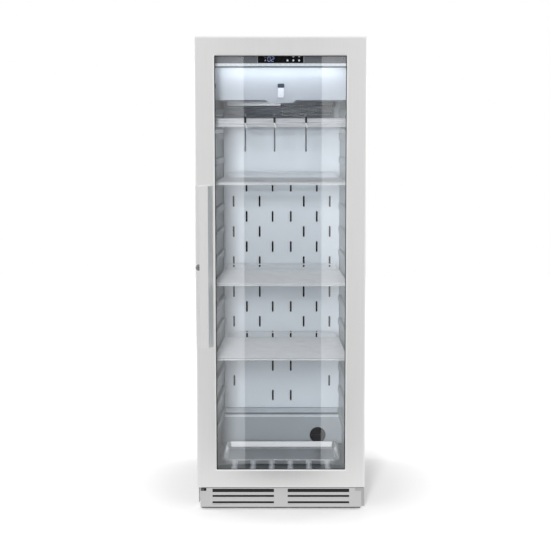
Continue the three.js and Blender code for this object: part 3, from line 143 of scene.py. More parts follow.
def place_noise(tree, scale, stretch=(1.0, 1.0, 1.0), detail=3.0, roughness=0.5):
    mapping = add(tree, "Mapping", inputs={"Vector": object_place(tree), "Scale": stretch})
    return add(tree, "TexNoise", inputs={
        "Vector": mapping.outputs[0], "Scale": scale, "Detail": detail, "Roughness": roughness,
    }).outputs[0]


def between(tree, factor, low, high):
    ramp = add(tree, "ValToRGB", inputs={"Fac": factor})
    for element, color, position in zip(ramp.color_ramp.elements, (low, high), NOISE_RANGE):
        element.color = color
        element.position = position
    return ramp.outputs["Color"]


def shaded(color, share):
    return tuple(min(1.0, channel * share) for channel in color[:3]) + (1.0,)


def toned(tree, factor, color, low_share, high_share):
    return between(tree, factor, shaded(color, low_share), shaded(color, high_share))


def ranged(tree, factor, value, low_share, high_share):
    return add(tree, "MapRange", inputs={
        "Value": factor, "From Min": NOISE_RANGE[0], "From Max": NOISE_RANGE[1],
        "To Min": value * low_share, "To Max": value * high_share,
    }).outputs[0]


def bumped(tree, height, strength, depth):
    return add(tree, "Bump", inputs={
        "Height": height, "Strength": strength, "Distance": depth,
    }).outputs[0]


def mixed_shader(tree, factor, first, second):
    return add(tree, "MixShader", inputs={0: factor, 1: first, 2: second}).outputs[0]


def glow(tree, strength):
    return add(tree, "Emission", inputs={"Color": WHITE, "Strength": strength}).outputs[0]


def new_material(name):
    material = bpy.data.materials.new(name)
    material.use_nodes = True
    return material, material.node_tree


# A material with one Principled shader, whose inputs the recipe gives
def principled(name, recipe, *values):
    material, tree = new_material(name)
    fill(tree, tree.nodes["Principled BSDF"], recipe(tree, *values))
    return material


# A material whose surface is the shader that the recipe makes
def surfaced(name, recipe, *values):
    material, tree = new_material(name)
    tree.nodes.remove(tree.nodes["Principled BSDF"])
    tree.links.new(recipe(tree, *values), tree.nodes["Material Output"].inputs["Surface"])
    return material


# Brushed sheet: fine streaks with a slow drift in tone
def brushed_steel(tree, color, roughness, stretch=UPRIGHT, metal=1.0):
    streaks = place_noise(tree, 1.0, stretch, 4.0, 0.6)
    drift = place_noise(tree, 2.2, (1.0, 1.0, 0.5), 2.0)
    tone = add(tree, "Mix", {"data_type": "RGBA", "blend_type": "MULTIPLY"}, {
        "Factor": 1.0,
        "A": toned(tree, streaks, color, 0.98, 1.02),
        "B": between(tree, drift, (0.985, 0.985, 0.987, 1.0), WHITE),
    })
    return {
        "Base Color": tone.outputs["Result"],
        "Metallic": metal,
        "Roughness": ranged(tree, streaks, roughness, 0.86, 1.16),
        "Anisotropic": 0.45,
        "Tangent": add(tree, "Tangent", {"direction_type": "RADIAL", "axis": "Z"}).outputs[0],
        "Normal": bumped(tree, streaks, 0.12, STREAK_RELIEF),
    }


# Drawn and polished wire, with faint draw marks
def polished_metal(tree, color, roughness, metal=1.0):
    marks = place_noise(tree, 1400.0)
    return {
        "Base Color": toned(tree, place_noise(tree, 26.0, detail=2.0), color, 0.93, 1.05),
        "Metallic": metal,
        "Roughness": ranged(tree, marks, roughness, 0.85, 1.2),
        "Normal": bumped(tree, marks, 0.02, MARK_RELIEF),
    }


# Pressed tray: its level floor is painted much darker than its walls and rim, as painted shade
def tray_metal(tree, color, floor_shade_share, roughness):
    marks = place_noise(tree, 420.0, detail=4.0)
    facing = add(tree, "NewGeometry").outputs["Normal"]
    level = add(tree, "SeparateXYZ", inputs={"Vector": facing}).outputs["Z"]
    flat = add(tree, "MapRange", inputs={"Value": level, "From Min": 0.9, "From Max": 0.99})
    # the level faces get a far darker tone: painted shade on the tray's floor
    painted_floor_shade = toned(tree, place_noise(tree, 9.0), color, floor_shade_share * 0.92, floor_shade_share * 1.08)
    tone = add(tree, "Mix", {"data_type": "RGBA"}, {
        "Factor": flat.outputs[0], "A": color, "B": painted_floor_shade,
    })
    return {
        "Base Color": tone.outputs["Result"],
        "Metallic": 0.8,
        "Roughness": ranged(tree, marks, roughness, 0.85, 1.2),
        "Normal": bumped(tree, marks, 0.02, MARK_RELIEF),
    }


# Moulded plastic with a fine grain
def moulded(tree, color, roughness, grain=1400.0, relief=GRAIN_RELIEF, gloss=0.45):
    fine = place_noise(tree, grain, detail=2.0)
    return {
        "Base Color": toned(tree, place_noise(tree, 7.0), color, 0.955, 1.035),
        "Roughness": ranged(tree, fine, roughness, 0.88, 1.12),
        "Specular IOR Level": gloss,
        "Normal": bumped(tree, fine, 0.18, relief),
    }


# Textured powder coat: rounded grains that catch the light
def powder_coat(tree, color, roughness):
    grains = add(tree, "TexVoronoi", {"feature": "SMOOTH_F1"}, {
        "Vector": object_place(tree), "Scale": 900.0, "Smoothness": 0.6,
    })
    slow = place_noise(tree, 11.0)
    return {
        "Base Color": toned(tree, slow, color, 0.85, 1.2),
        "Roughness": ranged(tree, slow, roughness, 0.9, 1.1),
        "Normal": bumped(tree, grains.outputs[0], 0.5, COAT_RELIEF),
    }


# Galvanised sheet with its spangle
def zinc_coat(tree, color, roughness):
    spangle = add(tree, "TexVoronoi", inputs={
        "Vector": object_place(tree), "Scale": 130.0, "Randomness": 1.0,
    })
    grey = add(tree, "SeparateColor", inputs={"Color": spangle.outputs["Color"]})
    return {
        "Base Color": toned(tree, grey.outputs[0], color, 0.93, 1.05),
        "Metallic": 0.9,
        "Roughness": ranged(tree, grey.outputs[1], roughness, 0.8, 1.25),
        "Normal": bumped(tree, place_noise(tree, 60.0, detail=2.0), 0.08, SPANGLE_RELIEF),
    }


# Light from a surface, evened by a faint pattern of the diodes behind it
def glowing(tree, color, strength, spots=0.0):
    wave = add(tree, "TexWave", {"bands_direction": "X"}, {
        "Vector": object_place(tree), "Scale": 18.0, "Distortion": 0.0,
    }).outputs[0]
    return {
        "Base Color": between(tree, wave, shaded(color, 0.97), color),
        "Roughness": 0.35,
        "Emission Color": between(tree, wave, shaded(color, 1.0 - spots), color),
        "Emission Strength": strength,
    }


# Foam and rubber
def soft_solid(tree, color, roughness, grain):
    cells = place_noise(tree, grain, detail=5.0, roughness=0.7)
    return {
        "Base Color": toned(tree, cells, color, 0.8, 1.12),
        "Roughness": roughness,
        "Normal": bumped(tree, cells, 0.35, CELL_RELIEF),
    }


# Thin glass: rays pass straight, and each face reflects by Schlick's rule
def thin_glass(tree, tint):
    facing = add(tree, "LayerWeight", inputs={"Blend": 0.5}).outputs["Facing"]
    fall = add(tree, "Math", {"operation": "POWER"}, {0: facing, 1: 5.0})
    share = add(tree, "MapRange", inputs={
        "Value": fall.outputs[0], "To Min": GLASS_MIRROR_SHARE, "To Max": 1.0,
    })
    film = place_noise(tree, 3.0)
    clear = add(tree, "BsdfTransparent", inputs={
        "Color": between(tree, film, shaded(tint, 0.985), tint),
    })
    shine = add(tree, "BsdfGlossy", inputs={
        "Color": WHITE, "Roughness": ranged(tree, film, 0.03, 0.0, 1.0),
    })
    return mixed_shader(tree, share.outputs[0], clear.outputs[0], shine.outputs[0])


# Sheet
steel = principled("brushed_steel", brushed_steel, (0.90, 0.90, 0.895, 1.0), 0.34)
handle_steel = principled("handle_steel", brushed_steel, (0.93, 0.93, 0.925, 1.0), 0.3)
hinge_steel = principled("hinge_steel", brushed_steel, (0.50, 0.50, 0.50, 1.0), 0.36)
plinth_steel = principled("plinth_steel", brushed_steel, (0.66, 0.66, 0.657, 1.0), 0.33, LEVEL)
rack_steel = principled("rack_steel", brushed_steel, (0.68, 0.685, 0.70, 1.0), 0.28, LEVEL, 0.45)
baffle_steel = principled("baffle_steel", brushed_steel, (0.42, 0.435, 0.46, 1.0), 0.3, LEVEL)
dull_steel = principled("dull_steel", brushed_steel, (0.70, 0.70, 0.72, 1.0), 0.4, LEVEL)
fins = principled("fin_aluminium", brushed_steel, (0.50, 0.51, 0.53, 1.0), 0.4, FIN_STREAKS)
zinc = principled("zinc_sheet", zinc_coat, (0.60, 0.62, 0.64, 1.0), 0.42)
black_coat = principled("black_coat", powder_coat, (0.022, 0.022, 0.024, 1.0), 0.5)
# the 0.2 share darkens the tray's level floor as painted shade
tray_steel = principled("tray_steel", tray_metal, (0.96, 0.97, 0.98, 1.0), 0.5, 0.2)

# Wire and tube
bright_steel = principled("polished_wire", polished_metal, (0.88, 0.885, 0.895, 1.0), 0.28, 0.4)
hook_steel = principled("hook_steel", polished_metal, (0.34, 0.35, 0.37, 1.0), 0.3)
# a near-white copy of the hook wire: painted highlight on the hooks' tips
tip_highlight_steel = principled("hook_tip_painted_highlight", polished_metal, (0.97, 0.97, 0.98, 1.0), 0.3, 0.35)
lock_steel = principled("lock_steel", polished_metal, (0.36, 0.36, 0.37, 1.0), 0.38)
copper = principled("copper_tube", polished_metal, (0.72, 0.42, 0.28, 1.0), 0.3)
dull_tube = principled("tube_aluminium", polished_metal, (0.16, 0.165, 0.175, 1.0), 0.5)

# Plastic
liner = principled("liner_plastic", moulded, (0.46, 0.50, 0.53, 1.0), 0.34, LINER_GRAIN)
# the left wall's plastic is a darker copy of the liner: painted shade for the light that falls less on
# that wall
liner_left = principled("liner_left_painted_shade", moulded, (0.17, 0.178, 0.181, 1.0), 0.34, LINER_GRAIN)
liner_right = principled("liner_right_plastic", moulded, (0.46, 0.51, 0.53, 1.0), 0.34, LINER_GRAIN)
# a dark copy of the liner that paints shade, on the floor pan and the hump's groove
liner_shade_dark = principled("liner_painted_shade", moulded, (0.20, 0.22, 0.235, 1.0), 0.36, LINER_GRAIN)
ledge_plastic = principled("ledge_plastic", moulded, (0.86, 0.90, 0.94, 1.0), 0.34, LINER_GRAIN)
white_plastic = principled("white_plastic", moulded, (0.80, 0.84, 0.88, 1.0), 0.42)
cover_plastic = principled("cover_plastic", moulded, (0.47, 0.50, 0.545, 1.0), 0.42)
button_white = principled("button_white", moulded, (0.78, 0.80, 0.86, 1.0), 0.35)
channel_grey = principled("channel_grey", moulded, (0.12, 0.14, 0.15, 1.0), 0.45)
fascia_grey = principled("fascia_grey", moulded, (0.15, 0.155, 0.17, 1.0), 0.4, LINER_GRAIN)
sensor_dark = principled("sensor_dark", moulded, (0.045, 0.06, 0.09, 1.0), 0.4)
black_plastic = principled("black_plastic", moulded, (0.018, 0.018, 0.02, 1.0), 0.48)
foot_plastic = principled("foot_plastic", moulded, (0.03, 0.03, 0.03, 1.0), 0.5)
display_gloss = principled(
    "display_gloss", moulded, (0.006, 0.006, 0.007, 1.0), 0.08, 60.0, MARK_RELIEF, 0.6,
)

# Glass and light
pane_glass = surfaced("pane_glass", thin_glass, (0.992, 0.996, 1.0, 1.0))
light_diffuser = principled("light_diffuser", glowing, (0.66, 0.70, 0.725, 1.0), 0.22, 0.12)
digit_glow = principled("digit_glow", glowing, (0.20, 0.24, 0.42, 1.0), 0.9)
icon_glow = principled("icon_glow", glowing, (0.30, 0.31, 0.36, 1.0), 0.5)

# Foam and rubber, and the black that paints shade behind slots
foam = principled("foam", soft_solid, (0.75, 0.66, 0.38, 1.0), 0.9, 700.0)
# black sheet material that paints the shade behind slots and louvres
shade_black = principled("duct_shade_sheet", soft_solid, (0.012, 0.012, 0.013, 1.0), 0.9, 500.0)
rubber = principled("rubber", soft_solid, (0.02, 0.02, 0.022, 1.0), 0.7, 1100.0)

finishes = {
    "stainless": steel, "bright_steel": bright_steel, "black_steel": black_coat, "zinc_steel": zinc,
    "liner_plastic": liner, "white_plastic": white_plastic, "black_plastic": black_plastic,
    "foot_plastic": foot_plastic, "display_gloss": display_gloss, "light_diffuser": light_diffuser,
    "clear_glass": pane_glass, "foam": foam, "rubber": rubber, "aluminium": fins,
}
own_finishes = {
    "control_fascia": fascia_grey, "hanging_rack": rack_steel, "handle_base": handle_steel,
    "handle_bar": handle_steel, "plinth_grille": plinth_steel, "hinge_bottom": hinge_steel,
    "evaporator_cover": cover_plastic,
}
slot_of = {part["node"]: part["material_slot"] for part in frame["record"]["subparts"]}
bodies = frame["record"]["behaviour"]["bodies"]
body_of = {node: body for body, members in bodies.items() for node in members}


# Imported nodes: each gets its material, and its edges are rounded by modifiers
def dress(name, material):
    node = nodes[name]
    node.data.materials.clear()
    node.data.materials.append(material)
    weld = node.modifiers.new("weld", "WELD")
    weld.merge_threshold = WELD
    flat = node.modifiers.new("flat", "DECIMATE")
    flat.decimate_type = "DISSOLVE"
    flat.angle_limit = FLAT_ANGLE
    round_edge = node.modifiers.new("edge", "BEVEL")
    round_edge.width = FINE_EDGE
    round_edge.segments = EDGE_SEGMENTS
    round_edge.limit_method = "ANGLE"
    round_edge.angle_limit = EDGE_ANGLE
    round_edge.use_clamp_overlap = True


for node_name, slot_name in slot_of.items():
    dress(node_name, own_finishes.get(node_name, finishes[slot_name]))


# A piece of the scene's own
def made(name, shape, material, body="cabinet"):
    data = shape.mesh(name) if isinstance(shape, Shape) else shape
    piece = bpy.data.objects.new(name, data)
    bpy.context.collection.objects.link(piece)
    data.materials.append(material)
    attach(piece, body)
    return piece


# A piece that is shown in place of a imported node
def stand_in(node, name, shape, material):
    piece = made(name, shape, material, body_of[node])
    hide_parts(node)


def profile_at(rows, first=0.0, second=0.0):
    """A profile drawn in millimetres, moved by a distance in each of its two directions."""
    return [(a * MM + first, b * MM + second) for a, b in rows]


def about(middle, half):
    return middle - half, middle + half


def face_of(low, high, grow=0):
    """The outline (left, right, bottom, top) of a box seen from the front."""
    return low.x - grow, high.x + grow, low.z - grow, high.z + grow


def plan_of(low, high, grow=0):
    """The outline (left, right, near, far) of a box seen from above."""
    return low.x - grow, high.x + grow, low.y - grow, high.y + grow


def span_at(place, span):
    return place + span[0], place + span[1]


def round_size(low, high):
    """The axis and the radius of a round piece that faces the front."""
    return Vector(((low.x + high.x) / 2, 0, (low.z + high.z) / 2)), (high.x - low.x) / 2


def smoothed(mesh):
    mesh.shade_smooth()
    mesh.set_sharp_from_angle(angle=SMOOTH_ANGLE)
    return mesh


class Shape:
    """Points and faces gathered from several closed parts, which make one mesh."""

    def __init__(self):
        self.points = []
        self.faces = []

    def rings(self, rings, closed=False):
        start, count = len(self.points), len(rings[0])
        for ring in rings:
            self.points.extend(Vector(point) for point in ring)
        spans = len(rings) if closed else len(rings) - 1
        for i in range(spans):
            here, beyond = start + i * count, start + ((i + 1) % len(rings)) * count
            for j in range(count):
                k = (j + 1) % count
                self.faces.append((here + j, here + k, beyond + k, beyond + j))
        if not closed:
            self.faces.append(tuple(start + j for j in reversed(range(count))))
            last = start + (len(rings) - 1) * count
            self.faces.append(tuple(last + j for j in range(count)))

    def block(self, low, high):
        (x0, y0, z0), (x1, y1, z1) = low, high
        ring = [(x0, y0), (x1, y0), (x1, y1), (x0, y1)]
        self.rings([[(x, y, z0) for x, y in ring], [(x, y, z1) for x, y in ring]])

    def tube(self, path, radius, sides=ROD_SIDES, closed=False, tip=None):
        """A round wire along a path; tip tapers both ends to that radius."""
        points = [Vector(point) for point in path]
        count = len(points)
        side = None
        rings = []
        for i, point in enumerate(points):
            before = points[(i - 1) % count] if closed or i else points[0]
            after = points[(i + 1) % count] if closed or i < count - 1 else points[-1]
            run = (after - before).normalized()
            side = side_of(run) if side is None else side
            side = (side - run * side.dot(run)).normalized()
            size = tip if tip is not None and i in (0, count - 1) else radius
            rings.append(circle(point, side, run.cross(side), size, sides))
        self.rings(rings, closed)

    def lathe(self, profile, centre, axis, sides=ROUND_SIDES, closed=False):
        """Profile rows are (distance along the axis, radius), turned round it."""
        middle, along = Vector(centre), Vector(axis).normalized()
        side = side_of(along)
        across = along.cross(side)
        self.rings([
            circle(middle + along * reach, side, across, radius, sides) for reach, radius in profile
        ], closed)

    def mesh(self, name):
        mesh = bpy.data.meshes.new(name)
        mesh.from_pydata([tuple(point) for point in self.points], [], self.faces)
        mesh.validate()
        solid = bmesh.new()
        solid.from_mesh(mesh)
        bmesh.ops.recalc_face_normals(solid, faces=solid.faces)
        solid.to_mesh(mesh)
        solid.free()
        return smoothed(mesh)


def turns(sides):
    return [2 * math.pi * i / sides for i in range(sides)]


def side_of(run):
    """A direction beside a run: up, or to the right where the run itself is steep."""
    return Vector((0, 0, 1)) if abs(run.z) < STEEP else Vector((1, 0, 0))


def circle(middle, side, across, radius, sides):
    return [
        middle + side * (radius * math.cos(turn)) + across * (radius * math.sin(turn))
        for turn in turns(sides)
    ]


def bent(corners, radius, steps=BEND_STEPS, closed=False):
    """A path along straight runs whose corners are rounded."""
    points = [Vector(corner) for corner in corners]
    path = []
    for i, point in enumerate(points):
        if not closed and i in (0, len(points) - 1):
            path.append(point)
            continue
        before = (points[i - 1] - point).normalized() * radius + point
        after = (points[(i + 1) % len(points)] - point).normalized() * radius + point
        for step in range(steps + 1):
            t = step / steps
            path.append(before * (1 - t) ** 2 + point * (2 * t * (1 - t)) + after * t ** 2)
    return path


def rounded_rect(left, right, bottom, top, radius, steps=CORNER_STEPS):
    corners = [
        (right - radius, bottom + radius, -90), (right - radius, top - radius, 0),
        (left + radius, top - radius, 90), (left + radius, bottom + radius, 180),
    ]
    points = []
    for u, v, start in corners:
        for step in range(steps + 1):
            turn = math.radians(start + 90 * step / steps)
            points.append((u + radius * math.cos(turn), v + radius * math.sin(turn)))
    return points


def slot_outline(u, v, width, height):
    """A slot with round ends along its longer side."""
    radius = min(width, height) / 2 * ROUND_END_SHARE
    return rounded_rect(*about(u, width / 2), *about(v, height / 2), radius)


def place_of(axis, u, v, w):
    """The place of an outline point (u, v), at w along the axis."""
    return Vector({"x": (w, u, v), "y": (u, w, v), "z": (u, v, w)}[axis])


def lofted(shape, axis, outline, sections, steps=CORNER_STEPS, closed=False):
    """Rings round a rectangle (left, right, bottom, top); sections are (grow, corner radius, place)."""
    left, right, bottom, top = outline
    shape.rings([[
        place_of(axis, u, v, place)
        for u, v in rounded_rect(left - grow, right + grow, bottom - grow, top + grow, radius, steps)
    ] for grow, radius, place in sections], closed)


def slab(shape, axis, outline, span, corner, edge, steps=CORNER_STEPS):
    """A block with round corners in its outline and rounded edges at both faces."""
    start, end = span
    turn = [math.radians(90 * i / EDGE_STEPS) for i in range(EDGE_STEPS + 1)]
    rise = [(-edge * (1 - math.sin(t)), edge * (1 - math.cos(t))) for t in turn]
    sections = [(grow, corner + grow, start + away) for grow, away in rise]
    sections += [(grow, corner + grow, end - away) for grow, away in reversed(rise)]
    lofted(shape, axis, outline, sections, steps)
    return shape


# A flat sheet that faces -Y, with holes and finely rounded edges
def sheet(name, outline, holes, front, thickness):
    curve = bpy.data.curves.new(name, "CURVE")
    curve.dimensions = "2D"
    curve.fill_mode = "BOTH"
    curve.extrude = thickness / 2 - FINE_EDGE
    curve.bevel_depth = FINE_EDGE
    curve.bevel_resolution = 1
    curve.offset = -FINE_EDGE
    for points in [outline, *holes]:
        spline = curve.splines.new("POLY")
        spline.points.add(len(points) - 1)
        for knot, (u, v) in zip(spline.points, points):
            knot.co = (u, v, 0, 1)
        spline.use_cyclic_u = True
    holder = bpy.data.objects.new(name, curve)
    mesh = bpy.data.meshes.new_from_object(holder)
    bpy.data.objects.remove(holder)
    bpy.data.curves.remove(curve)
    mesh.transform(Matrix(((1, 0, 0, 0), (0, 0, -1, front + thickness / 2), (0, 1, 0, 0), (0, 0, 0, 1))))
    mesh.materials.clear()
    return mesh


def joined(name, meshes):
    """One mesh from several."""
    gathered = bmesh.new()
    for mesh in meshes:
        gathered.from_mesh(mesh)
        bpy.data.meshes.remove(mesh)
    mesh = bpy.data.meshes.new(name)
    gathered.to_mesh(mesh)
    gathered.free()
    return smoothed(mesh)


# Wire shelves
SHELF_ROD = 3 * MM
CROSS_WIRE = 2 * MM
CROSS_SPACING = 12 * MM
SHELF_BEND = 14 * MM
STOP_ROD = 2.5 * MM
STOP_INSET = 10 * MM
WIRE_SINK = 0.8 * MM


def wire_shelf(node):
    low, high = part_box(node)
    level = low.z + SHELF_ROD
    front, back = low.y + SHELF_ROD, high.y - SHELF_ROD
    reach = high.x - SHELF_ROD

    def half_at(y):
        return reach - (y - front) * DRAFT

    shape = Shape()
    shape.tube(bent([
        (-reach, front, level), (reach, front, level),
        (half_at(back), back, level), (-half_at(back), back, level),
    ], SHELF_BEND, closed=True), SHELF_ROD, closed=True)
    shape.tube([(0, front, level), (0, back, level)], SHELF_ROD)
    top = level + SHELF_ROD + CROSS_WIRE - WIRE_SINK
    count = round((back - front) / CROSS_SPACING)
    for i in range(1, count):
        y = front + (back - front) * i / count
        shape.tube([(-half_at(y), y, top), (half_at(y), y, top)], CROSS_WIRE, WIRE_SIDES)
    stop, crest = half_at(back) - STOP_INSET, high.z - STOP_ROD
    shape.tube(bent([
        (-stop, back, level), (-stop, back, crest), (stop, back, crest), (stop, back, level),
    ], SHELF_BEND), STOP_ROD)
    stand_in(node, f"{node}_wires", shape, bright_steel)


# Hooks: polished wire over a moulded saddle that rides on the bar's top edge; the wire's lower tip is a
# bright copy of it, a painted highlight
RACK_SHEET = 2 * MM
HOOK_WIRE = 2.5 * MM
HOOK_REACH = 11 * MM
HOOK_TIP = 34 * MM
HOOK_TIP_UP = 26 * MM
HOOK_LEAN = 5 * MM
HOOK_SIDE = 3 * MM
HOOK_STEPS = 12
HOOK_END_SHARE = 1 / 3
TIP_SIDE_SHARES = (0.2, 1.6, 0.6)
TIP_FORWARD = (1 * MM, 1.5 * MM)
TIP_STEPS = 6
TIP_END_SHARE = 0.6
SADDLE_RISE = 11 * MM
SADDLE_DROP = 16 * MM
SADDLE_SWING = 5.5 * MM
SADDLE_HALF = 3.6 * MM
SADDLE_SKIN = 0.8 * MM
SADDLE_CORNER = 4 * MM
LEG_CORNER = 2 * MM


def hook(node):
    low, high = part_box(node)
    bar_low, bar_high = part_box("hanging_rack")
    x = (low.x + high.x) / 2
    y = bar_low.y + RACK_SHEET / 2
    crown = bar_high.z + SADDLE_RISE + HOOK_WIRE
    front, behind = about(y, HOOK_REACH)
    heel = low.z + HOOK_WIRE
    split = bar_high.z - SADDLE_DROP
    end = bar_high.z - HOOK_TIP
    first, second, third = [x + HOOK_SIDE * share for share in TIP_SIDE_SHARES]
    tip = Shape()
    tip.tube(bent([
        (x, front, split + WIRE_SINK), (first, front, split - HOOK_SIDE),
        (second, front - TIP_FORWARD[0], end + HOOK_SIDE * 2), (third, front - TIP_FORWARD[1], end),
    ], HOOK_SIDE, TIP_STEPS), HOOK_WIRE, tip=HOOK_WIRE * TIP_END_SHARE)
    made(f"{node}_tip", tip, tip_highlight_steel, body_of[node])
    wire = Shape()
    wire.tube(bent([
        (x, front, split), (x, front, crown), (x, behind, crown),
        (x, behind - HOOK_LEAN, heel), (x, front - HOOK_LEAN, heel),
        (x, front - HOOK_LEAN, heel + HOOK_TIP_UP),
    ], HOOK_REACH - WIRE_SINK, HOOK_STEPS), HOOK_WIRE, tip=HOOK_WIRE * HOOK_END_SHARE)
    stand_in(node, f"{node}_wire", wire, hook_steel)
    saddle = Shape()
    reach = HOOK_REACH + HOOK_WIRE + SADDLE_SKIN
    span = about(x, SADDLE_HALF)
    leg = (y - reach, y - SADDLE_SWING, split, high.z - SADDLE_SKIN)
    slab(saddle, "x", leg, span, LEG_CORNER, SOFT_EDGE)
    bridge = (y - reach, y + reach, bar_high.z + FIT_GAP, high.z)
    slab(saddle, "x", bridge, span, SADDLE_CORNER, SOFT_EDGE)
    made(f"{node}_saddle", saddle, black_plastic, body_of[node])


# Drip tray with a rolled rim and drainage beads; its profiles are (grow, height)
TRAY_WALL = 1.5 * MM
TRAY_FLANGE = 7 * MM
TRAY_ROLL = 2.5 * MM
TRAY_ROLL_STEPS = 6
TRAY_TAPER = 8 * MM
TRAY_CORNER = 22 * MM
TRAY_CORNER_STEPS = 9
TRAY_HEEL = ((-4, 0), (-1.2, 0.8), (0, 3))
TRAY_NECK = ((-1, -2), (0.4, -0.4), (2, 0))
TRAY_MOUTH = ((0.4, 0), (-1.4, -0.6), (-2.4, -2.6))
TRAY_BASIN = ((-1.5, 3), (-2.8, 0.8), (-5.6, 0))
TRAY_BEADS = (14 * MM, 24 * MM, 34 * MM, 44 * MM)
TRAY_BEAD_END = 22 * MM
TRAY_BEAD = 1.3 * MM
TRAY_BEAD_TIP = 0.2 * MM


def drip_tray():
    low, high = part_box("drip_tray")
    outline = plan_of(low, high, -TRAY_FLANGE)
    under, floor = high.z - TRAY_WALL, low.z + TRAY_WALL
    roll_grow, roll_height = TRAY_FLANGE - TRAY_ROLL, high.z - TRAY_ROLL
    rolls = []
    for i in range(TRAY_ROLL_STEPS + 1):
        turn = math.pi * (1 - i / TRAY_ROLL_STEPS)
        rolls.append((roll_grow + TRAY_ROLL * math.sin(turn), roll_height + TRAY_ROLL * math.cos(turn)))
    sections = profile_at(TRAY_HEEL, -TRAY_TAPER, low.z) + profile_at(TRAY_NECK, 0, under)
    sections += [(roll_grow, under)] + rolls + profile_at(TRAY_MOUTH, 0, high.z)
    sections += profile_at(TRAY_BASIN, -TRAY_TAPER, floor)
    shape = Shape()
    lofted(shape, "z", outline, [(grow, TRAY_CORNER + grow, z) for grow, z in sections], TRAY_CORNER_STEPS)
    for inset in TRAY_BEADS:
        for side in (-1, 1):
            x = side * (outline[1] - TRAY_TAPER - inset)
            run = [(x, outline[2] + TRAY_BEAD_END, floor), (x, outline[3] - TRAY_BEAD_END, floor)]
            shape.tube(run, TRAY_BEAD, tip=TRAY_BEAD_TIP)
    stand_in("drip_tray", "drip_tray_pan", shape, tray_steel)


# Liner: floor with tapering ribs, and side walls with shelf ribs
LINER_WALL = 2 * MM
WALL_INSET = 47 * MM
FLOOR_RIBS = 6
FLOOR_RIB_SPACING = 68 * MM
FLOOR_RIB_TOP = 11 * MM
FLOOR_RIB_BASE = 21 * MM
FLOOR_RIB_SETBACK = 24 * MM
FLOOR_RIB_SLOPE = 16 * MM
FLOOR_RIB_SHARES = ((0, 0.02), (0.3, 0.3), (0.7, 0.85), (1, 1.0))
FLOOR_RIB_STEPS = 12
FLOOR_RIB_SQUARE = 3
FLOOR_RIB_ROUND = 0.6
RIB_SPACING = 90 * MM
RIB_COUNT = 14
RIBS_ABOVE_SHELF = 3
RIB_HEIGHT = 26 * MM
RIB_DEPTH = 12 * MM
RIB_RADIUS = 5 * MM
RIB_RADIUS_SHARE = 0.8
RIB_STEPS = 5
RIB_SETBACK = 9.7 * MM
RIB_END = 102 * MM
RIB_TAPER = 8 * MM
RIB_SHARES = ((0, 0.35), (0.25, 0.75), (1, 1.0))


def rib_stations(start, end, slope, shares):
    """Places along a rib, each with its share of the full height."""
    stations = [(start + slope * share, lift) for share, lift in shares]
    return stations + [(end - slope * share, lift) for share, lift in reversed(shares)]


def liner_floor():
    low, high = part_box("liner_floor")
    floor = low.z + LINER_WALL
    narrow = high.x - (high.y - low.y) * DRAFT
    pan = Shape()
    plan = [(-high.x, low.y), (high.x, low.y), (narrow, high.y), (-narrow, high.y)]
    pan.rings([[(x, y, z) for x, y in plan] for z in (low.z, floor)])
    # the floor pan is the dark copy of the liner: painted shade under the tray
    stand_in("liner_floor", "liner_floor_pan", pan, liner_shade_dark)
    ribs = Shape()
    start, end = low.y + FLOOR_RIB_SETBACK, high.y - FLOOR_RIB_SETBACK
    for i in range(FLOOR_RIBS):
        middle = (i - (FLOOR_RIBS - 1) / 2) * FLOOR_RIB_SPACING
        ribs.rings([
            floor_rib_section(middle, y, floor, high.z - floor, lift)
            for y, lift in rib_stations(start, end, FLOOR_RIB_SLOPE, FLOOR_RIB_SHARES)
        ])
    # the ribs are pale plastic, lighter than the floor, painting the light that they catch
    made("liner_floor_ribs", ribs, white_plastic)


def floor_rib_section(middle, y, floor, rise, lift):
    ring = []
    for step in range(FLOOR_RIB_STEPS + 1):
        t = step / FLOOR_RIB_STEPS * 2 - 1
        swell = (1 - abs(t) ** FLOOR_RIB_SQUARE) ** FLOOR_RIB_ROUND
        half = (FLOOR_RIB_TOP + (FLOOR_RIB_BASE - FLOOR_RIB_TOP) * (1 - swell * lift)) / 2
        ring.append((middle - t * half, y, floor + rise * lift * swell))
    return ring + [(x, y, floor - WIRE_SINK) for x in about(middle, FLOOR_RIB_BASE / 2)]


def liner_side(node, side, material):
    low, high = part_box(node)
    hump_low, hump_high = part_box("liner_hump")
    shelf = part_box("shelf_top")[0].z - FIT_GAP
    front_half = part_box("front_frame")[1].x - WALL_INSET
    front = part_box("front_frame")[0].y

    def wall_at(y, inset):
        return side * (front_half - (y - front) * DRAFT - inset)

    step, tread = hump_low.y - FIT_GAP, hump_high.z + FIT_GAP
    profile = [
        (low.y, low.z), (step, low.z), (step, tread), (high.y, tread), (high.y, high.z), (low.y, high.z),
    ]
    shape = Shape()
    shape.rings([[(wall_at(y, inset), y, z) for y, z in profile] for inset in (0, -LINER_WALL)])
    start, end = low.y + RIB_SETBACK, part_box("liner_back")[1].y - RIB_END
    for i in range(RIB_COUNT):
        seat = shelf + (RIBS_ABOVE_SHELF - i) * RIB_SPACING
        shape.rings([
            [(wall_at(y, inset), y, z) for inset, z in rib_section(seat, RIB_DEPTH * share)]
            for y, share in rib_stations(start, end, RIB_TAPER, RIB_SHARES)
        ])
    stand_in(node, f"{node}_wall", shape, material)


def rib_section(seat, reach):
    bend = min(RIB_RADIUS, reach * RIB_RADIUS_SHARE)
    ring = [(-WIRE_SINK, seat)]
    for start, level in ((0, seat - bend), (90, seat - RIB_HEIGHT + bend)):
        for k in range(RIB_STEPS + 1):
            turn = math.radians(start + 90 * k / RIB_STEPS)
            ring.append((reach - bend + bend * math.sin(turn), level + bend * math.cos(turn)))
    return ring + [(-WIRE_SINK, seat - RIB_HEIGHT)]


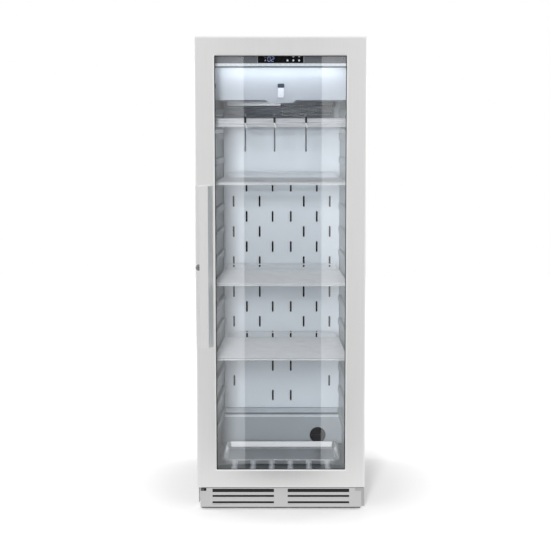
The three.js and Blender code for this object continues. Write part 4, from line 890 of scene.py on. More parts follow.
# Duct panel with its pairs of slots, and a black sheet behind it that paints the shade seen through the
# slots
SLOT_WIDTH = 7 * MM
SLOT_HEIGHT = 43.6 * MM
SLOT_ROW_SPACING = 60 * MM
SLOT_ROWS = 15
SLOT_TOP = 251 * MM
SLOT_INNER = 36 * MM
SLOT_SIDE_GAP = 38.3 * MM
SLOT_SINGLE_ROWS = 3
SLOT_LAST_COLUMN = 3
DUCT_SHEET = 1.5 * MM
DUCT_SHADE_GAP = 7 * MM
DUCT_CORNER_STEPS = 2
DUCT_RETURN_SHARE = 0.6


def duct_panel():
    low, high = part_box("duct_panel")
    pitch = (high.x - SLOT_SIDE_GAP - SLOT_INNER) / SLOT_LAST_COLUMN
    holes = []
    for row in range(SLOT_ROWS):
        first = row % 2
        paired = row < SLOT_ROWS - SLOT_SINGLE_ROWS
        columns = [first, first + 2] if paired else [SLOT_LAST_COLUMN * first]
        middle = high.z - SLOT_TOP - row * SLOT_ROW_SPACING
        for column in columns:
            x = SLOT_INNER + column * pitch
            holes += [slot_outline(side * x, middle, SLOT_WIDTH, SLOT_HEIGHT) for side in (-1, 1)]
    outline = rounded_rect(*face_of(low, high), SOFT_EDGE, DUCT_CORNER_STEPS)
    front = sheet("duct_front", outline, holes, low.y, DUCT_SHEET)
    returns = Shape()
    for x in (low.x, high.x - DUCT_SHEET):
        returns.block((x, low.y + DUCT_SHEET * DUCT_RETURN_SHARE, low.z), (x + DUCT_SHEET, high.y, high.z))
    # this black block paints the shade inside the duct behind the slots
    lining = Shape()
    inset = Vector((2 * DUCT_SHEET, 0, 2 * DUCT_SHEET))
    lining.block(low + inset + Vector((0, DUCT_SHADE_GAP, 0)), high - inset - Vector((0, FIT_GAP, 0)))
    made("duct_shade_sheet", lining, shade_black)
    panel = joined("duct_panel", [front, returns.mesh("duct_returns")])
    stand_in("duct_panel", "duct_panel_sheet", panel, white_plastic)


# Filter cartridge: a turned cap with a gripped bar; its profiles are (depth, radius)
FILTER_CAP_DEPTH = 9 * MM
FILTER_BARREL = 25 * MM
FILTER_END = ((0, 20), (0, 24), (-1, 25))
FILTER_SKIRT = ((-0.3, -0.5), (-0.9, 0))
FILTER_RIM = ((3, 0), (1, -0.8), (0, -2.6), (1.2, -4.4), (1.8, -7))
FILTER_DISH = ((1.8, 12.5), (-0.4, 11), (-0.8, 9), (-0.8, 1))
GRIP_INSET = 6 * MM
GRIP_HALF = 4 * MM
GRIP_SINK = 3 * MM
GRIP_CORNER = 3.6 * MM
GRIP_EDGE = 1.4 * MM
KNURLS = 30
KNURL = 0.7 * MM
KNURL_SIDES = 6
KNURL_SINK = 0.1 * MM
KNURL_START = 3.5 * MM
KNURL_END = 1.5 * MM


def filter_cap():
    low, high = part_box("filter_cartridge")
    centre, radius = round_size(low, high)
    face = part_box("liner_hump")[0].y
    cap = face - FILTER_CAP_DEPTH
    shape = Shape()
    profile = profile_at(FILTER_END, high.y) + [(face - FIT_GAP, FILTER_BARREL)]
    profile += profile_at(FILTER_SKIRT, face, radius) + profile_at(FILTER_RIM, cap, radius)
    shape.lathe(profile + profile_at(FILTER_DISH, cap), centre, (0, 1, 0))
    grip = (*about(centre.x, radius - GRIP_INSET), *about(centre.z, GRIP_HALF))
    slab(shape, "y", grip, (low.y, cap + GRIP_SINK), GRIP_CORNER, GRIP_EDGE)
    for turn in turns(KNURLS):
        rim = radius - KNURL_SINK
        x, z = centre.x + rim * math.cos(turn), centre.z + rim * math.sin(turn)
        shape.tube([(x, cap + KNURL_START, z), (x, face - KNURL_END, z)], KNURL, KNURL_SIDES)
    stand_in("filter_cartridge", "filter_cap", shape, black_plastic)


# Display: generic digits, icons and domed buttons
SEGMENTS = {"0": "abcdef", "2": "abdeg"}
DISPLAY_DROP = 3 * MM
DIGIT_WIDTH = 8.5 * MM
DIGIT_HEIGHT = 16 * MM
DIGIT_STROKE = 1.7 * MM
DIGIT_GAP = 4.5 * MM
DIGITS_X = -34.4 * MM
DIGIT_PULL_SHARE = 0.62
DIGIT_CORNER = 0.5 * MM
MARK_SPAN = (-0.12 * MM, 0.1 * MM)
MARK_EDGE = 0.04 * MM
MARK_STEPS = 2
ICON_X = -54 * MM
ICON_ARROW = ((-3.4, -2.6), (3.4, -2.6), (0, 3.4))
ICON_DROP = 4 * MM
ICON_BAR_HALF = 3 * MM
ICON_BAR_SPAN = (4 * MM, 5 * MM)
ICON_CORNER = 0.4 * MM
TRIM_WIDTH = 1.2 * MM
TRIM_SPAN = (-0.5 * MM, 3 * MM)
TRIM_EDGE = 0.3 * MM
BUTTON_SIDES = 32
BUTTON_DEPTHS = (0.9 * MM, 0.4 * MM, 0.1 * MM, 0, 0.25 * MM, 0.3 * MM)
BUTTON_RADIUS_SHARES = (1, 0.93, 0.8, 0.55, 0.3, 0.08)


def segment_places():
    half, mid = DIGIT_WIDTH / 2, DIGIT_HEIGHT / 2
    return {
        "a": ((-half, mid), (half, mid)), "g": ((-half, 0), (half, 0)), "d": ((-half, -mid), (half, -mid)),
        "f": ((-half, 0), (-half, mid)), "b": ((half, 0), (half, mid)),
        "e": ((-half, -mid), (-half, 0)), "c": ((half, -mid), (half, 0)),
    }


def display():
    low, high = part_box("display_panel")
    middle = (low.z + high.z) / 2 - DISPLAY_DROP
    raised = span_at(low.y, MARK_SPAN)
    half, pull = DIGIT_STROKE / 2, DIGIT_STROKE * DIGIT_PULL_SHARE
    digits = Shape()
    for digit, side in (("0", -1), ("2", 1)):
        x = DIGITS_X + side * (DIGIT_WIDTH + DIGIT_GAP) / 2
        for name in SEGMENTS[digit]:
            (u0, v0), (u1, v1) = segment_places()[name]
            along, up = (pull, -half) if v0 == v1 else (-half, pull)
            outline = (x + u0 + along, x + u1 - along, middle + v0 + up, middle + v1 - up)
            slab(digits, "y", outline, raised, DIGIT_CORNER, MARK_EDGE, MARK_STEPS)
    made("display_digits", digits, digit_glow)
    icons = Shape()
    arrow = profile_at(ICON_ARROW, ICON_X, middle - ICON_DROP)
    icons.rings([[(u, y, v) for u, v in arrow] for y in raised])
    bar = (*about(ICON_X, ICON_BAR_HALF), *span_at(middle, ICON_BAR_SPAN))
    slab(icons, "y", bar, raised, ICON_CORNER, MARK_EDGE, MARK_STEPS)
    made("display_icons", icons, icon_glow)
    trim = Shape()
    for x in (low.x - TRIM_WIDTH, high.x):
        outline = (x, x + TRIM_WIDTH, low.z, high.z)
        slab(trim, "y", outline, span_at(low.y, TRIM_SPAN), ICON_CORNER, TRIM_EDGE, MARK_STEPS)
    made("display_trim", trim, bright_steel)


def button(node):
    low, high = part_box(node)
    centre, radius = round_size(low, high)
    shape = Shape()
    dome = [(low.y + depth, radius * share) for depth, share in zip(BUTTON_DEPTHS, BUTTON_RADIUS_SHARES)]
    shape.lathe([(high.y, radius), *dome], centre, (0, 1, 0), BUTTON_SIDES)
    stand_in(node, f"{node}_cap", shape, button_white)


# Air sensor: a dark head over a pale vented housing
SENSOR_HEAD = 14 * MM
SENSOR_GROW = 1 * MM
SENSOR_CORNER = 2.5 * MM
SENSOR_HEAD_EDGE = 1.2 * MM
SENSOR_EDGE = 1.5 * MM
VENTS = 4
VENT_FIRST = 8 * MM
VENT_SPACING = 5 * MM
VENT_INSET = 4 * MM
VENT_RADIUS = 0.8 * MM


def air_sensor():
    low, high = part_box("air_sensor")
    split = high.z - SENSOR_HEAD
    outline = (low.x - SENSOR_GROW, high.x + SENSOR_GROW, split, high.z)
    head = slab(Shape(), "y", outline, (low.y - SENSOR_GROW, high.y), SENSOR_CORNER, SENSOR_HEAD_EDGE)
    stand_in("air_sensor", "air_sensor_head", head, sensor_dark)
    outline = (low.x, high.x, low.z, split - FIT_GAP)
    housing = slab(Shape(), "y", outline, (low.y, high.y), SENSOR_CORNER, SENSOR_EDGE)
    for i in range(VENTS):
        z = low.z + VENT_FIRST + VENT_SPACING * i
        run = [(low.x + VENT_INSET, low.y, z), (high.x - VENT_INSET, low.y, z)]
        housing.tube(run, VENT_RADIUS, WIRE_SIDES, tip=FIT_GAP)
    made("air_sensor_housing", housing, button_white)


# Finned coil: thin fins on rows of tubes, with return bends at both ends
EVAPORATOR_FINS = (7 * MM, 1.6 * MM)
CONDENSER_FINS = (3 * MM, 0.7 * MM)
EVAPORATOR_ROWS = 6
CONDENSER_ROWS = 5
EVAPORATOR_PACK = 160 * MM
TUBE = 4.5 * MM
TUBE_PAST = 3 * MM
RETURN_PAST = 2 * MM
END_ROOM = 3.65 * TUBE
RETURN_REACH = 2.2 * TUBE
RETURN_BEND = 1.9 * TUBE
COIL_PLATE = 1.5 * MM


def coil(name, node, along, fin_sizes, tube_rows, pack_top):
    low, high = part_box(node)
    middle = (low + high) / 2
    across = 1 - along
    spacing, thickness = fin_sizes
    reach = (high[along] - low[along]) / 2 - END_ROOM
    depth = (high[across] - low[across]) / 2

    def place(run, side, z):
        point = [0, 0, z]
        point[along], point[across] = middle[along] + run, middle[across] + side
        return tuple(point)

    def leaf(shape, span, top):
        corners = [(-depth, low.z), (depth, low.z), (depth, top), (-depth, top)]
        shape.rings([[place(run, side, z) for side, z in corners] for run in span])

    leaves, tubes, plates = Shape(), Shape(), Shape()
    count = round(2 * reach / spacing)
    for i in range(count + 1):
        leaf(leaves, about(-reach + 2 * reach * i / count, thickness / 2), pack_top)
    levels = [low.z + (pack_top - low.z) * (i + 0.5) / tube_rows for i in range(tube_rows)]
    for side in (-depth / 2, depth / 2):
        for z in levels:
            tubes.tube([place(run, side, z) for run in about(0, reach + TUBE_PAST)], TUBE, TUBE_SIDES)
        for i, (z, next_z) in enumerate(zip(levels, levels[1:])):
            end = reach + RETURN_PAST if i % 2 else -reach - RETURN_PAST
            out = end + math.copysign(RETURN_REACH, end)
            corners = [(end, z), (out, z), (out, next_z), (end, next_z)]
            tubes.tube(bent([place(run, side, v) for run, v in corners], RETURN_BEND), TUBE, TUBE_SIDES)
    for start in (-reach - COIL_PLATE, reach):
        leaf(plates, (start, start + COIL_PLATE), high.z)
    stand_in(node, f"{name}_fins", leaves, fins)
    made(f"{name}_tubes", tubes, dull_tube)
    made(f"{name}_plates", plates, zinc)


# Lock: a turned ring and barrel, the keyway, and the cam behind the door
LOCK_X = -285 * MM
LOCK_Z = 867 * MM
LOCK_FACE = ((1.2, 2), (1.2, 6.6), (0.5, 7.2), (0, 8), (0, 9.6), (0.5, 10.6), (1.4, 11))
LOCK_RING = 11 * MM
LOCK_BARREL = 8 * MM
LOCK_SHAFT = 4.2 * MM
SHAFT_END = 1 * MM
CAM_HALF = 4.5 * MM
CAM_SPAN = (-2.5 * MM, -0.1 * MM)
CAM_EDGES = (2.5 * MM, 0.4 * MM)
KEYWAY_HALF = (0.9 * MM, 3.8 * MM)
KEYWAY_SPAN = (1 * MM, 1.6 * MM)
KEYWAY_EDGES = (0.6 * MM, 0.1 * MM, SMALL_CORNER_STEPS)


def lock():
    low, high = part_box("lock_cylinder")
    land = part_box("handle_base")[0].y - FIT_GAP
    door_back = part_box("door_frame")[1].y
    barrel = Shape()
    barrel.lathe(profile_at(LOCK_FACE, low.y) + [
        (land, LOCK_RING), (land, LOCK_BARREL), (door_back, LOCK_BARREL),
        (door_back, LOCK_SHAFT), (high.y, LOCK_SHAFT), (high.y, SHAFT_END),
    ], (LOCK_X, 0, LOCK_Z), (0, 1, 0))
    cam = (*about(LOCK_X, CAM_HALF), LOCK_Z - CAM_HALF, high.z)
    slab(barrel, "y", cam, span_at(high.y, CAM_SPAN), *CAM_EDGES)
    stand_in("lock_cylinder", "lock_barrel", barrel, lock_steel)
    outline = (*about(LOCK_X, KEYWAY_HALF[0]), *about(LOCK_Z, KEYWAY_HALF[1]))
    keyway = slab(Shape(), "y", outline, span_at(low.y, KEYWAY_SPAN), *KEYWAY_EDGES)
    made("lock_keyway", keyway, black_plastic, body_of["lock_cylinder"])


# Feet: moulded pad, hexagon and a threaded stud; profiles are (height, radius)
PAD = ((0, 17), (0.4, 19.2), (1.4, 20), (3.2, 20), (4.2, 19), (5.2, 14), (6.6, 10.4), (7, 9.2))
PAD_SIDES = 48
NUT = ((7, 8.4), (7.6, 9.2), (11, 9.2), (11.6, 8.4))
NUT_SIDES = 6
STUD_FOOT = ((11.6, 4.2),)
STUD_TOP = ((-0.4, 4.2), (0, 3.6))
THREAD_START = 12.2 * MM
THREAD_ROOM = 12.6 * MM
THREAD_PITCH = 1.25 * MM
THREAD_ROOT = 4.3 * MM
THREAD_CREST = 5 * MM
THREAD_SHARES = ((0, THREAD_ROOT), (0.35, THREAD_CREST), (0.5, THREAD_CREST), (0.85, THREAD_ROOT))


def foot(node):
    low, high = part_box(node)
    centre = Vector(((low.x + high.x) / 2, (low.y + high.y) / 2, 0))
    pad = Shape()
    pad.lathe(profile_at(PAD), centre, (0, 0, 1), PAD_SIDES)
    stand_in(node, f"{node}_pad", pad, foot_plastic)
    thread = profile_at(STUD_FOOT)
    for i in range(int((high.z - THREAD_ROOM) / THREAD_PITCH)):
        thread += [(THREAD_START + (i + share) * THREAD_PITCH, radius) for share, radius in THREAD_SHARES]
    stud = Shape()
    stud.lathe(profile_at(NUT), centre, (0, 0, 1), NUT_SIDES)
    stud.lathe(thread + profile_at(STUD_TOP, high.z), centre, (0, 0, 1), SMALL_ROUND_SIDES)
    made(f"{node}_stud", stud, zinc, body_of[node])


# Inner frame of the door: its lip slopes back, so that it stays out of sight behind the steel front
PANE_LIP = 8 * MM
LIP_SPREAD = 7 * MM
INNER_WALL = 3 * MM
LINING_CORNER = 3 * MM


def door_inner_frame():
    low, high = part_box("door_inner_frame")
    pane_low, pane_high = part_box("inner_pane")
    pane, rim = face_of(pane_low, pane_high), face_of(low, high)
    lip, wall = PANE_LIP - GLASS_TUCK, FIT_GAP + INNER_WALL
    seat = pane_high.y + FIT_GAP
    flange, turned = high.y - INNER_WALL, high.y - SOFT_EDGE
    spread = lip + LIP_SPREAD
    sections = [
        (pane, lip, seat), (pane, FIT_GAP, seat), (pane, FIT_GAP, low.y), (pane, wall, low.y),
        (pane, wall, flange), (rim, 0, flange), (rim, 0, turned), (rim, -SOFT_EDGE, high.y),
        (pane, spread + SOFT_EDGE, high.y), (pane, spread, turned),
    ]
    lining = Shape()
    lining.rings([[
        Vector((u, place, v))
        for u, v in rounded_rect(left - grow, right + grow, bottom - grow, top + grow, LINING_CORNER)
    ] for (left, right, bottom, top), grow, place in sections], closed=True)
    stand_in("door_inner_frame", "door_inner_lining", lining, black_plastic)


# Black seal that shows as a thin line between the outer pane and the steel front
SEAL_SHOWN = 2.4 * MM
SEAL_DEPTH = 0.5 * MM


def pane_seal():
    low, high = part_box("outer_pane")
    outer, inner = -GLASS_TUCK - FIT_GAP / 3, -GLASS_TUCK - SEAL_SHOWN
    back = low.y - FIT_GAP
    front = back - SEAL_DEPTH
    section = [(outer, back), (inner, back), (inner, front), (outer, front)]
    seal = Shape()
    sections = [(grow, LINING_CORNER, y) for grow, y in section]
    lofted(seal, "y", face_of(low, high), sections, closed=True)
    made("pane_seal", seal, rubber, "door")


# Dark channel that holds the light's diffuser
CHANNEL_HEIGHT = 4.6 * MM
CHANNEL_EDGES = (1 * MM, 0.3 * MM, SMALL_CORNER_STEPS)


def light_channel():
    low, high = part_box("light_bar")
    outline = (low.y, high.y, low.z - CHANNEL_HEIGHT, low.z - FIT_GAP)
    channel = slab(Shape(), "x", outline, (low.x, high.x), *CHANNEL_EDGES)
    made("light_channel", channel, channel_grey)


# Ribbed baffle in front of the coil's left half, its strip, and the clips of the cover
BAFFLE_GAP = 10 * MM
BAFFLE_RIGHT = -3 * MM
BAFFLE_RISE = 30 * MM
BAFFLE_FOOT = 4 * MM
BAFFLE_SHEET = 1.2 * MM
BAFFLE_RIBS = 5
BAFFLE_RIB_DEPTH = 1.6 * MM
BAFFLE_RIB_STEPS = 8
STRIP_BAND = (-6 * MM, 12 * MM)
STRIP_SPAN = (-5 * MM, -2.4 * MM)
STRIP_EDGES = (2 * MM, 0.6 * MM)
CLIP_INSET = 6 * MM
CLIP_HALF = (3 * MM, 9 * MM)
CLIP_DROP = 28 * MM
CLIP_SPAN = (-2.2 * MM, 1 * MM)
CLIP_EDGES = (2 * MM, 1 * MM)


def coil_baffle():
    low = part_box("evaporator_coil")[0]
    cover_low, cover_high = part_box("evaporator_cover")
    front, bottom, top = low.y - BAFFLE_GAP, low.z + BAFFLE_FOOT, cover_low.z + BAFFLE_RISE
    steps = BAFFLE_RIBS * BAFFLE_RIB_STEPS
    profile = []
    for i in range(steps + 1):
        swell = math.sin(2 * math.pi * i / BAFFLE_RIB_STEPS) ** 2
        profile.append((front - BAFFLE_RIB_DEPTH * swell, bottom + (top - bottom) * i / steps))
    profile += [(y + BAFFLE_SHEET, z) for y, z in reversed(profile)]
    baffle = Shape()
    baffle.rings([[(x, y, z) for y, z in profile] for x in (low.x, BAFFLE_RIGHT)])
    baffle.block((low.x, front, top - BAFFLE_SHEET), (BAFFLE_RIGHT, low.y - FIT_GAP, top))
    made("coil_baffle", baffle, baffle_steel)
    outline = (low.x, BAFFLE_RIGHT, *span_at(cover_low.z, STRIP_BAND))
    strip = slab(Shape(), "y", outline, span_at(front, STRIP_SPAN), *STRIP_EDGES)
    made("coil_baffle_strip", strip, dull_steel)
    clips = Shape()
    middle = (cover_low.z + cover_high.z) / 2 - CLIP_DROP
    for side in (-1, 1):
        x = side * (cover_high.x - CLIP_INSET)
        outline = (*about(x, CLIP_HALF[0]), *about(middle, CLIP_HALF[1]))
        slab(clips, "y", outline, span_at(cover_low.y, CLIP_SPAN), *CLIP_EDGES)
    made("cover_clips", clips, channel_grey)


# Door gasket: a bellows profile round the opening
GASKET_INSET = 6 * MM
GASKET_CORNER = 10 * MM
GASKET_STEPS = 8
GASKET_INNER_SHARE = 0.6
GASKET_DEPTH_SHARES = (0.0, 0.05, 0.28, 0.38, 0.48, 0.56, 0.66, 0.74, 0.95, 1.0)
GASKET_WIDTHS = (5.6, 6.0, 6.0, 4.6, 2.7, 2.9, 4.6, 5.0, 5.0, 4.6)


def door_gasket():
    low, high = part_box("door_gasket")
    outline = face_of(low, high, -GASKET_INSET)
    outer, inner = [], []
    for share, size in zip(GASKET_DEPTH_SHARES, GASKET_WIDTHS):
        width, y = size * MM, low.y + share * (high.y - low.y)
        outer.append((width, GASKET_CORNER + width, y))
        inner.append((-width, GASKET_CORNER - width * GASKET_INNER_SHARE, y))
    seal = Shape()
    lofted(seal, "y", outline, outer + inner[::-1], GASKET_STEPS, closed=True)
    stand_in("door_gasket", "door_gasket_seal", seal, rubber)


# Compressor: a drawn pot on a plate with rubber feet; the pot's rows are (grow, corner radius, height)
POT = (
    (-30, 20, 0), (-14, 36, 1), (-8, 42, 7), (-5, 47, 16), (-4, 49, 26), (-4, 49, 62), (-1, 51, 62.5),
    (0, 51, 63.5), (0, 51, 66.5), (-1, 51, 67.5), (-4, 49, 68), (-5, 48, 82), (-7, 46, 94),
    (-10, 43, 104), (-15, 38, 111), (-23, 30, 115.6), (-36, 18, 117.6), (-48, 8, 118),
)
POT_STEPS = 12
POT_LENGTH = 186 * MM
POT_HALF = 61 * MM
POT_INSET = 6 * MM
POT_LIFT = 12.2 * MM
POT_SEAM = 65 * MM
TERMINAL_HALF = 23 * MM
TERMINAL_BAND = (-40 * MM, -4 * MM)
TERMINAL_SPAN = (-10 * MM, 12 * MM)
TERMINAL_EDGES = (5 * MM, 2 * MM)
PLATE_GROW = 6 * MM
PLATE_SPAN = (10 * MM, 13 * MM)
PLATE_EDGES = (12 * MM, 0.5 * MM)
BUFFER = ((0, 8), (1, 9), (4, 9), (5, 7.4), (6, 9), (9.8, 9))
BUFFER_INSET = (16 * MM, 8 * MM)
PIPE_START = (40 * MM, -6 * MM)
PIPE_END = (8 * MM, 8 * MM)
PIPE_RISE = (12 * MM, 4 * MM)
PIPE_BEND = 9 * MM
PIPE_RADIUS = 3.2 * MM


def compressor():
    low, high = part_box("compressor")
    middle = (low.y + high.y) / 2
    left = low.x + POT_INSET
    right = left + POT_LENGTH
    near, far = about(middle, POT_HALF)
    bottom, top = low.z + POT_LIFT, high.z
    seam = bottom + POT_SEAM
    rise = (top - bottom) / POT[-1][2]
    pot = Shape()
    sections = [(grow * MM, radius * MM, bottom + z * rise) for grow, radius, z in POT]
    lofted(pot, "z", (left, right, near, far), sections, POT_STEPS)
    terminal = (*about(middle, TERMINAL_HALF), *span_at(seam, TERMINAL_BAND))
    slab(pot, "x", terminal, span_at(right, TERMINAL_SPAN), *TERMINAL_EDGES)
    stand_in("compressor", "compressor_pot", pot, black_coat)
    outline = (left - PLATE_GROW, right + PLATE_GROW, near - PLATE_GROW, far + PLATE_GROW)
    plate = slab(Shape(), "z", outline, span_at(low.z, PLATE_SPAN), *PLATE_EDGES)
    made("compressor_plate", plate, zinc)
    buffers = Shape()
    for x in (left + BUFFER_INSET[0], right - BUFFER_INSET[0]):
        for y in (near + BUFFER_INSET[1], far - BUFFER_INSET[1]):
            buffers.lathe(profile_at(BUFFER, low.z), (x, y, 0), (0, 0, 1), SMALL_ROUND_SIDES)
    made("compressor_feet", buffers, rubber)
    start, end = left + PIPE_START[0], left + PIPE_END[0]
    behind, lower, upper = far + PIPE_END[1], seam + PIPE_RISE[0], top + PIPE_RISE[1]
    pipe = Shape()
    pipe.tube(bent([
        (start, far + PIPE_START[1], lower), (start, behind, lower), (start, behind, upper),
        (end, behind, upper),
    ], PIPE_BEND), PIPE_RADIUS)
    made("compressor_pipe", pipe, copper)


# Axial fans: a square frame with a round throat, motor and struts, and a rotor of curved blades
FAN_BORE = 57 * MM
FAN_SKIN = 2.4 * MM
FAN_LIP = 3.2 * MM
MOTOR_RADIUS = 20 * MM
MOTOR_LENGTH = 9 * MM
STRUTS = 4
STRUT_RADIUS = 2 * MM
STRUT_TURN = 0.4
STRUT_LEAN = 0.15
BLADES = 7
BLADE_STEPS = 8
BLADE_SHEET = 1.2 * MM
BLADE_CHORD = (12 * MM, 23 * MM)
BLADE_ANGLE = (48, 28)
BLADE_SWEEP = 0.3
BLADE_ROOT = 1 * MM
BLADE_EDGE_SHARE = 0.25
CAMBER_SHARE = 0.08
CHORD_STEPS = 6
HUB_NOSE = ((2.4, 0), (0.9, -0.7), (0.2, -2.4), (0, -5), (0.5, -9), (0.8, -19))


def fan(frame_node, rotor_node, along, facing):
    """Facing is 1 where the front looks to the low end of the axis, and -1 otherwise."""
    low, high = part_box(frame_node)
    middle = (low + high) / 2
    half, depth = (high.z - low.z) / 2, high[along] - low[along]
    start = low[along] if facing > 0 else high[along]
    across = 1 - along
    axis = Vector((0, 0, 0))
    axis[along] = facing

    def place(u, v, w):
        point = Vector((0, 0, middle.z + v))
        point[across], point[along] = middle[across] + u, start + facing * w
        return point

    def polar(radius, turn, w):
        return place(radius * math.cos(turn), radius * math.sin(turn), w)

    centre = place(0, 0, 0)
    shape = Shape()
    for w0, w1 in ((0, FAN_LIP), (depth - FAN_LIP, depth)):
        square_flange(shape, polar, half, w0, w1)
    skin = FAN_BORE + FAN_SKIN
    shape.lathe([(0, FAN_BORE), (0, skin), (depth, skin), (depth, FAN_BORE)], centre, axis, closed=True)
    motor = depth - MOTOR_LENGTH
    shape.lathe([
        (motor, MOTOR_RADIUS - FINE_EDGE), (motor + FINE_EDGE, MOTOR_RADIUS),
        (depth - FINE_EDGE, MOTOR_RADIUS), (depth, MOTOR_RADIUS - FINE_EDGE),
    ], centre, axis)
    for turn in turns(STRUTS):
        inner = polar(MOTOR_RADIUS - STRUT_RADIUS, STRUT_TURN + turn, depth - STRUT_RADIUS)
        outer = polar(FAN_BORE + STRUT_RADIUS / 2, STRUT_TURN + STRUT_LEAN + turn, depth - STRUT_RADIUS)
        shape.tube([inner, outer], STRUT_RADIUS)
    stand_in(frame_node, f"{frame_node}_throat", shape, black_plastic)
    rotor_low, rotor_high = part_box(rotor_node)
    near, far = sorted(abs(end - start) for end in (rotor_low[along], rotor_high[along]))
    tip = (rotor_high.z - rotor_low.z) / 2
    fan_rotor(rotor_node, polar, centre, axis, (near, far, tip))


def square_flange(shape, polar, half, w0, w1):
    square = [half / max(abs(math.cos(turn)), abs(math.sin(turn))) for turn in turns(ROUND_SIDES)]
    bore = [FAN_BORE] * ROUND_SIDES
    shape.rings([
        [polar(reach, turn, w) for reach, turn in zip(edge, turns(ROUND_SIDES))]
        for edge, w in ((square, w0), (bore, w0), (bore, w1), (square, w1))
    ], closed=True)


def fan_rotor(node, polar, centre, axis, sizes):
    near, far, tip = sizes
    hub = MOTOR_RADIUS
    shape = Shape()
    shape.lathe([(far, hub), *profile_at(HUB_NOSE, near, hub)], centre, axis)
    waist = (near + far) / 2
    for turn in turns(BLADES):
        rings = []
        for i in range(BLADE_STEPS + 1):
            share = i / BLADE_STEPS
            radius = hub - BLADE_ROOT + (tip - hub + BLADE_ROOT) * share
            chord = BLADE_CHORD[0] + (BLADE_CHORD[1] - BLADE_CHORD[0]) * math.sin(share * math.pi / 2)
            angle = math.radians(BLADE_ANGLE[0] + (BLADE_ANGLE[1] - BLADE_ANGLE[0]) * share)
            lead = turn + BLADE_SWEEP * share ** 2
            rings.append(blade_section(polar, radius, lead, chord, angle, waist))
        shape.rings(rings)
    stand_in(node, f"{node}_blades", shape, black_plastic)


def blade_section(polar, radius, lead, chord, angle, waist):
    """A cambered section: out along its front face and back along its rear face."""
    points = []
    steps = list(range(CHORD_STEPS + 1))
    for face, order in ((-1, steps), (1, steps[::-1])):
        for step in order:
            share = step / CHORD_STEPS
            swell = math.sin(share * math.pi)
            camber = CAMBER_SHARE * chord * swell
            skin = face * BLADE_SHEET / 2 * (BLADE_EDGE_SHARE + swell * (1 - BLADE_EDGE_SHARE))
            run, rise = (share - 0.5) * chord, camber + skin
            around = run * math.cos(angle) - rise * math.sin(angle)
            depth = run * math.sin(angle) + rise * math.cos(angle)
            points.append(polar(radius, lead + around / radius, waist + depth))
    return points


# Round heads of the screws in the sheet-metal covers at the back, each with a round dip in its top
SCREW_RADIUS = 3.6 * MM
SCREW_SHARES = ((0, 1), (0.16, 0.97), (0.3, 0.74), (0.37, 0.4), (0.12, 0.34), (0.1, 0.1))
SCREW_INSET = 7 * MM
SCREW_ROWS = 7


def back_screws():
    low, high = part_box("casing_back")
    right, upper, lower = high.x - SCREW_INSET, high.z - SCREW_INSET, low.z + SCREW_INSET
    places = []
    for row in range(SCREW_ROWS):
        z = lower + (upper - lower) * row / (SCREW_ROWS - 1)
        places += [(side * right, high.y, z) for side in (-1, 1)]
    places += [(0, high.y, upper)]
    cover_low, cover_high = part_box("service_cover")
    for z in (cover_low.z + SCREW_INSET, cover_high.z - SCREW_INSET):
        places += [(side * right, cover_high.y, z) for side in (-1, 0, 1)]
    heads = Shape()
    profile = [(SCREW_RADIUS * rise, SCREW_RADIUS * reach) for rise, reach in SCREW_SHARES]
    for place in places:
        heads.lathe(profile, place, (0, 1, 0), SCREW_SIDES)
    made("back_screws", heads, zinc)


# Ledge on the hump: a pale top, a dark raised strip that paints the shade of a groove, and a rounded front
# lip
LEDGE_END_GAP = 6 * MM
LEDGE_SINK = 0.2 * MM
LEDGE_RISE = 0.8 * MM
LEDGE_BACK = 14 * MM
LEDGE_FRONT = 46 * MM
LEDGE_EDGES = (2 * MM, 0.4 * MM)
LIP_FRONT = -0.6 * MM
LIP_DEPTH = 14 * MM
LIP_DROP = 6 * MM
LIP_EDGES = (3 * MM, 0.8 * MM)
GROOVE_SHADE_RISE = 0.4 * MM
GROOVE_SHADE_EDGES = (1 * MM, 0.1 * MM)


def hump_ledge():
    low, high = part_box("liner_hump")
    ends = about(0, high.x - LEDGE_END_GAP)
    top = high.z - LEDGE_SINK
    front, lip_back = low.y + LEDGE_FRONT, low.y + LIP_DEPTH
    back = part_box("duct_panel")[0].y - LEDGE_BACK
    ledge = slab(Shape(), "z", (*ends, front, back), (top, top + LEDGE_RISE), *LEDGE_EDGES)
    made("hump_ledge", ledge, ledge_plastic)
    span = (top - LIP_DROP, top + 2 * LEDGE_RISE)
    lip = slab(Shape(), "z", (*ends, low.y + LIP_FRONT, lip_back), span, *LIP_EDGES)
    made("hump_lip", lip, white_plastic)
    groove_shade = slab(Shape(), "z", (*ends, lip_back, front), (top, top + GROOVE_SHADE_RISE), *GROOVE_SHADE_EDGES)
    made("hump_groove_shade", groove_shade, liner_shade_dark)


# Seal under the plinth, a black strip that also paints the shade of the gap beneath it, and a black sheet
# behind its louvres that paints the shade in them
PLINTH_SEAL_SPAN = (4.6 * MM, 7.3 * MM)
PLINTH_SEAL_BAND = (2 * MM, 8 * MM)
PLINTH_SEAL_INSET = 4 * MM
PLINTH_EDGES = (2 * MM, 0.5 * MM)
INLET_SPAN = (6 * MM, 9 * MM)
INLET_INSET = 12 * MM
INLET_BOTTOM = 6 * MM
INLET_TOP = 4 * MM


def plinth_seal_shade():
    low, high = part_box("plinth_grille")
    outline = (low.x + PLINTH_SEAL_INSET, high.x - PLINTH_SEAL_INSET, *span_at(low.y, PLINTH_SEAL_BAND))
    seal = slab(Shape(), "z", outline, PLINTH_SEAL_SPAN, *PLINTH_EDGES)
    made("plinth_seal_shade", seal, rubber)
    outline = (low.x + INLET_INSET, high.x - INLET_INSET, low.z + INLET_BOTTOM, high.z - INLET_TOP)
    inlet = slab(Shape(), "y", outline, span_at(low.y, INLET_SPAN), *PLINTH_EDGES)
    made("inlet_shade_sheet", inlet, shade_black)


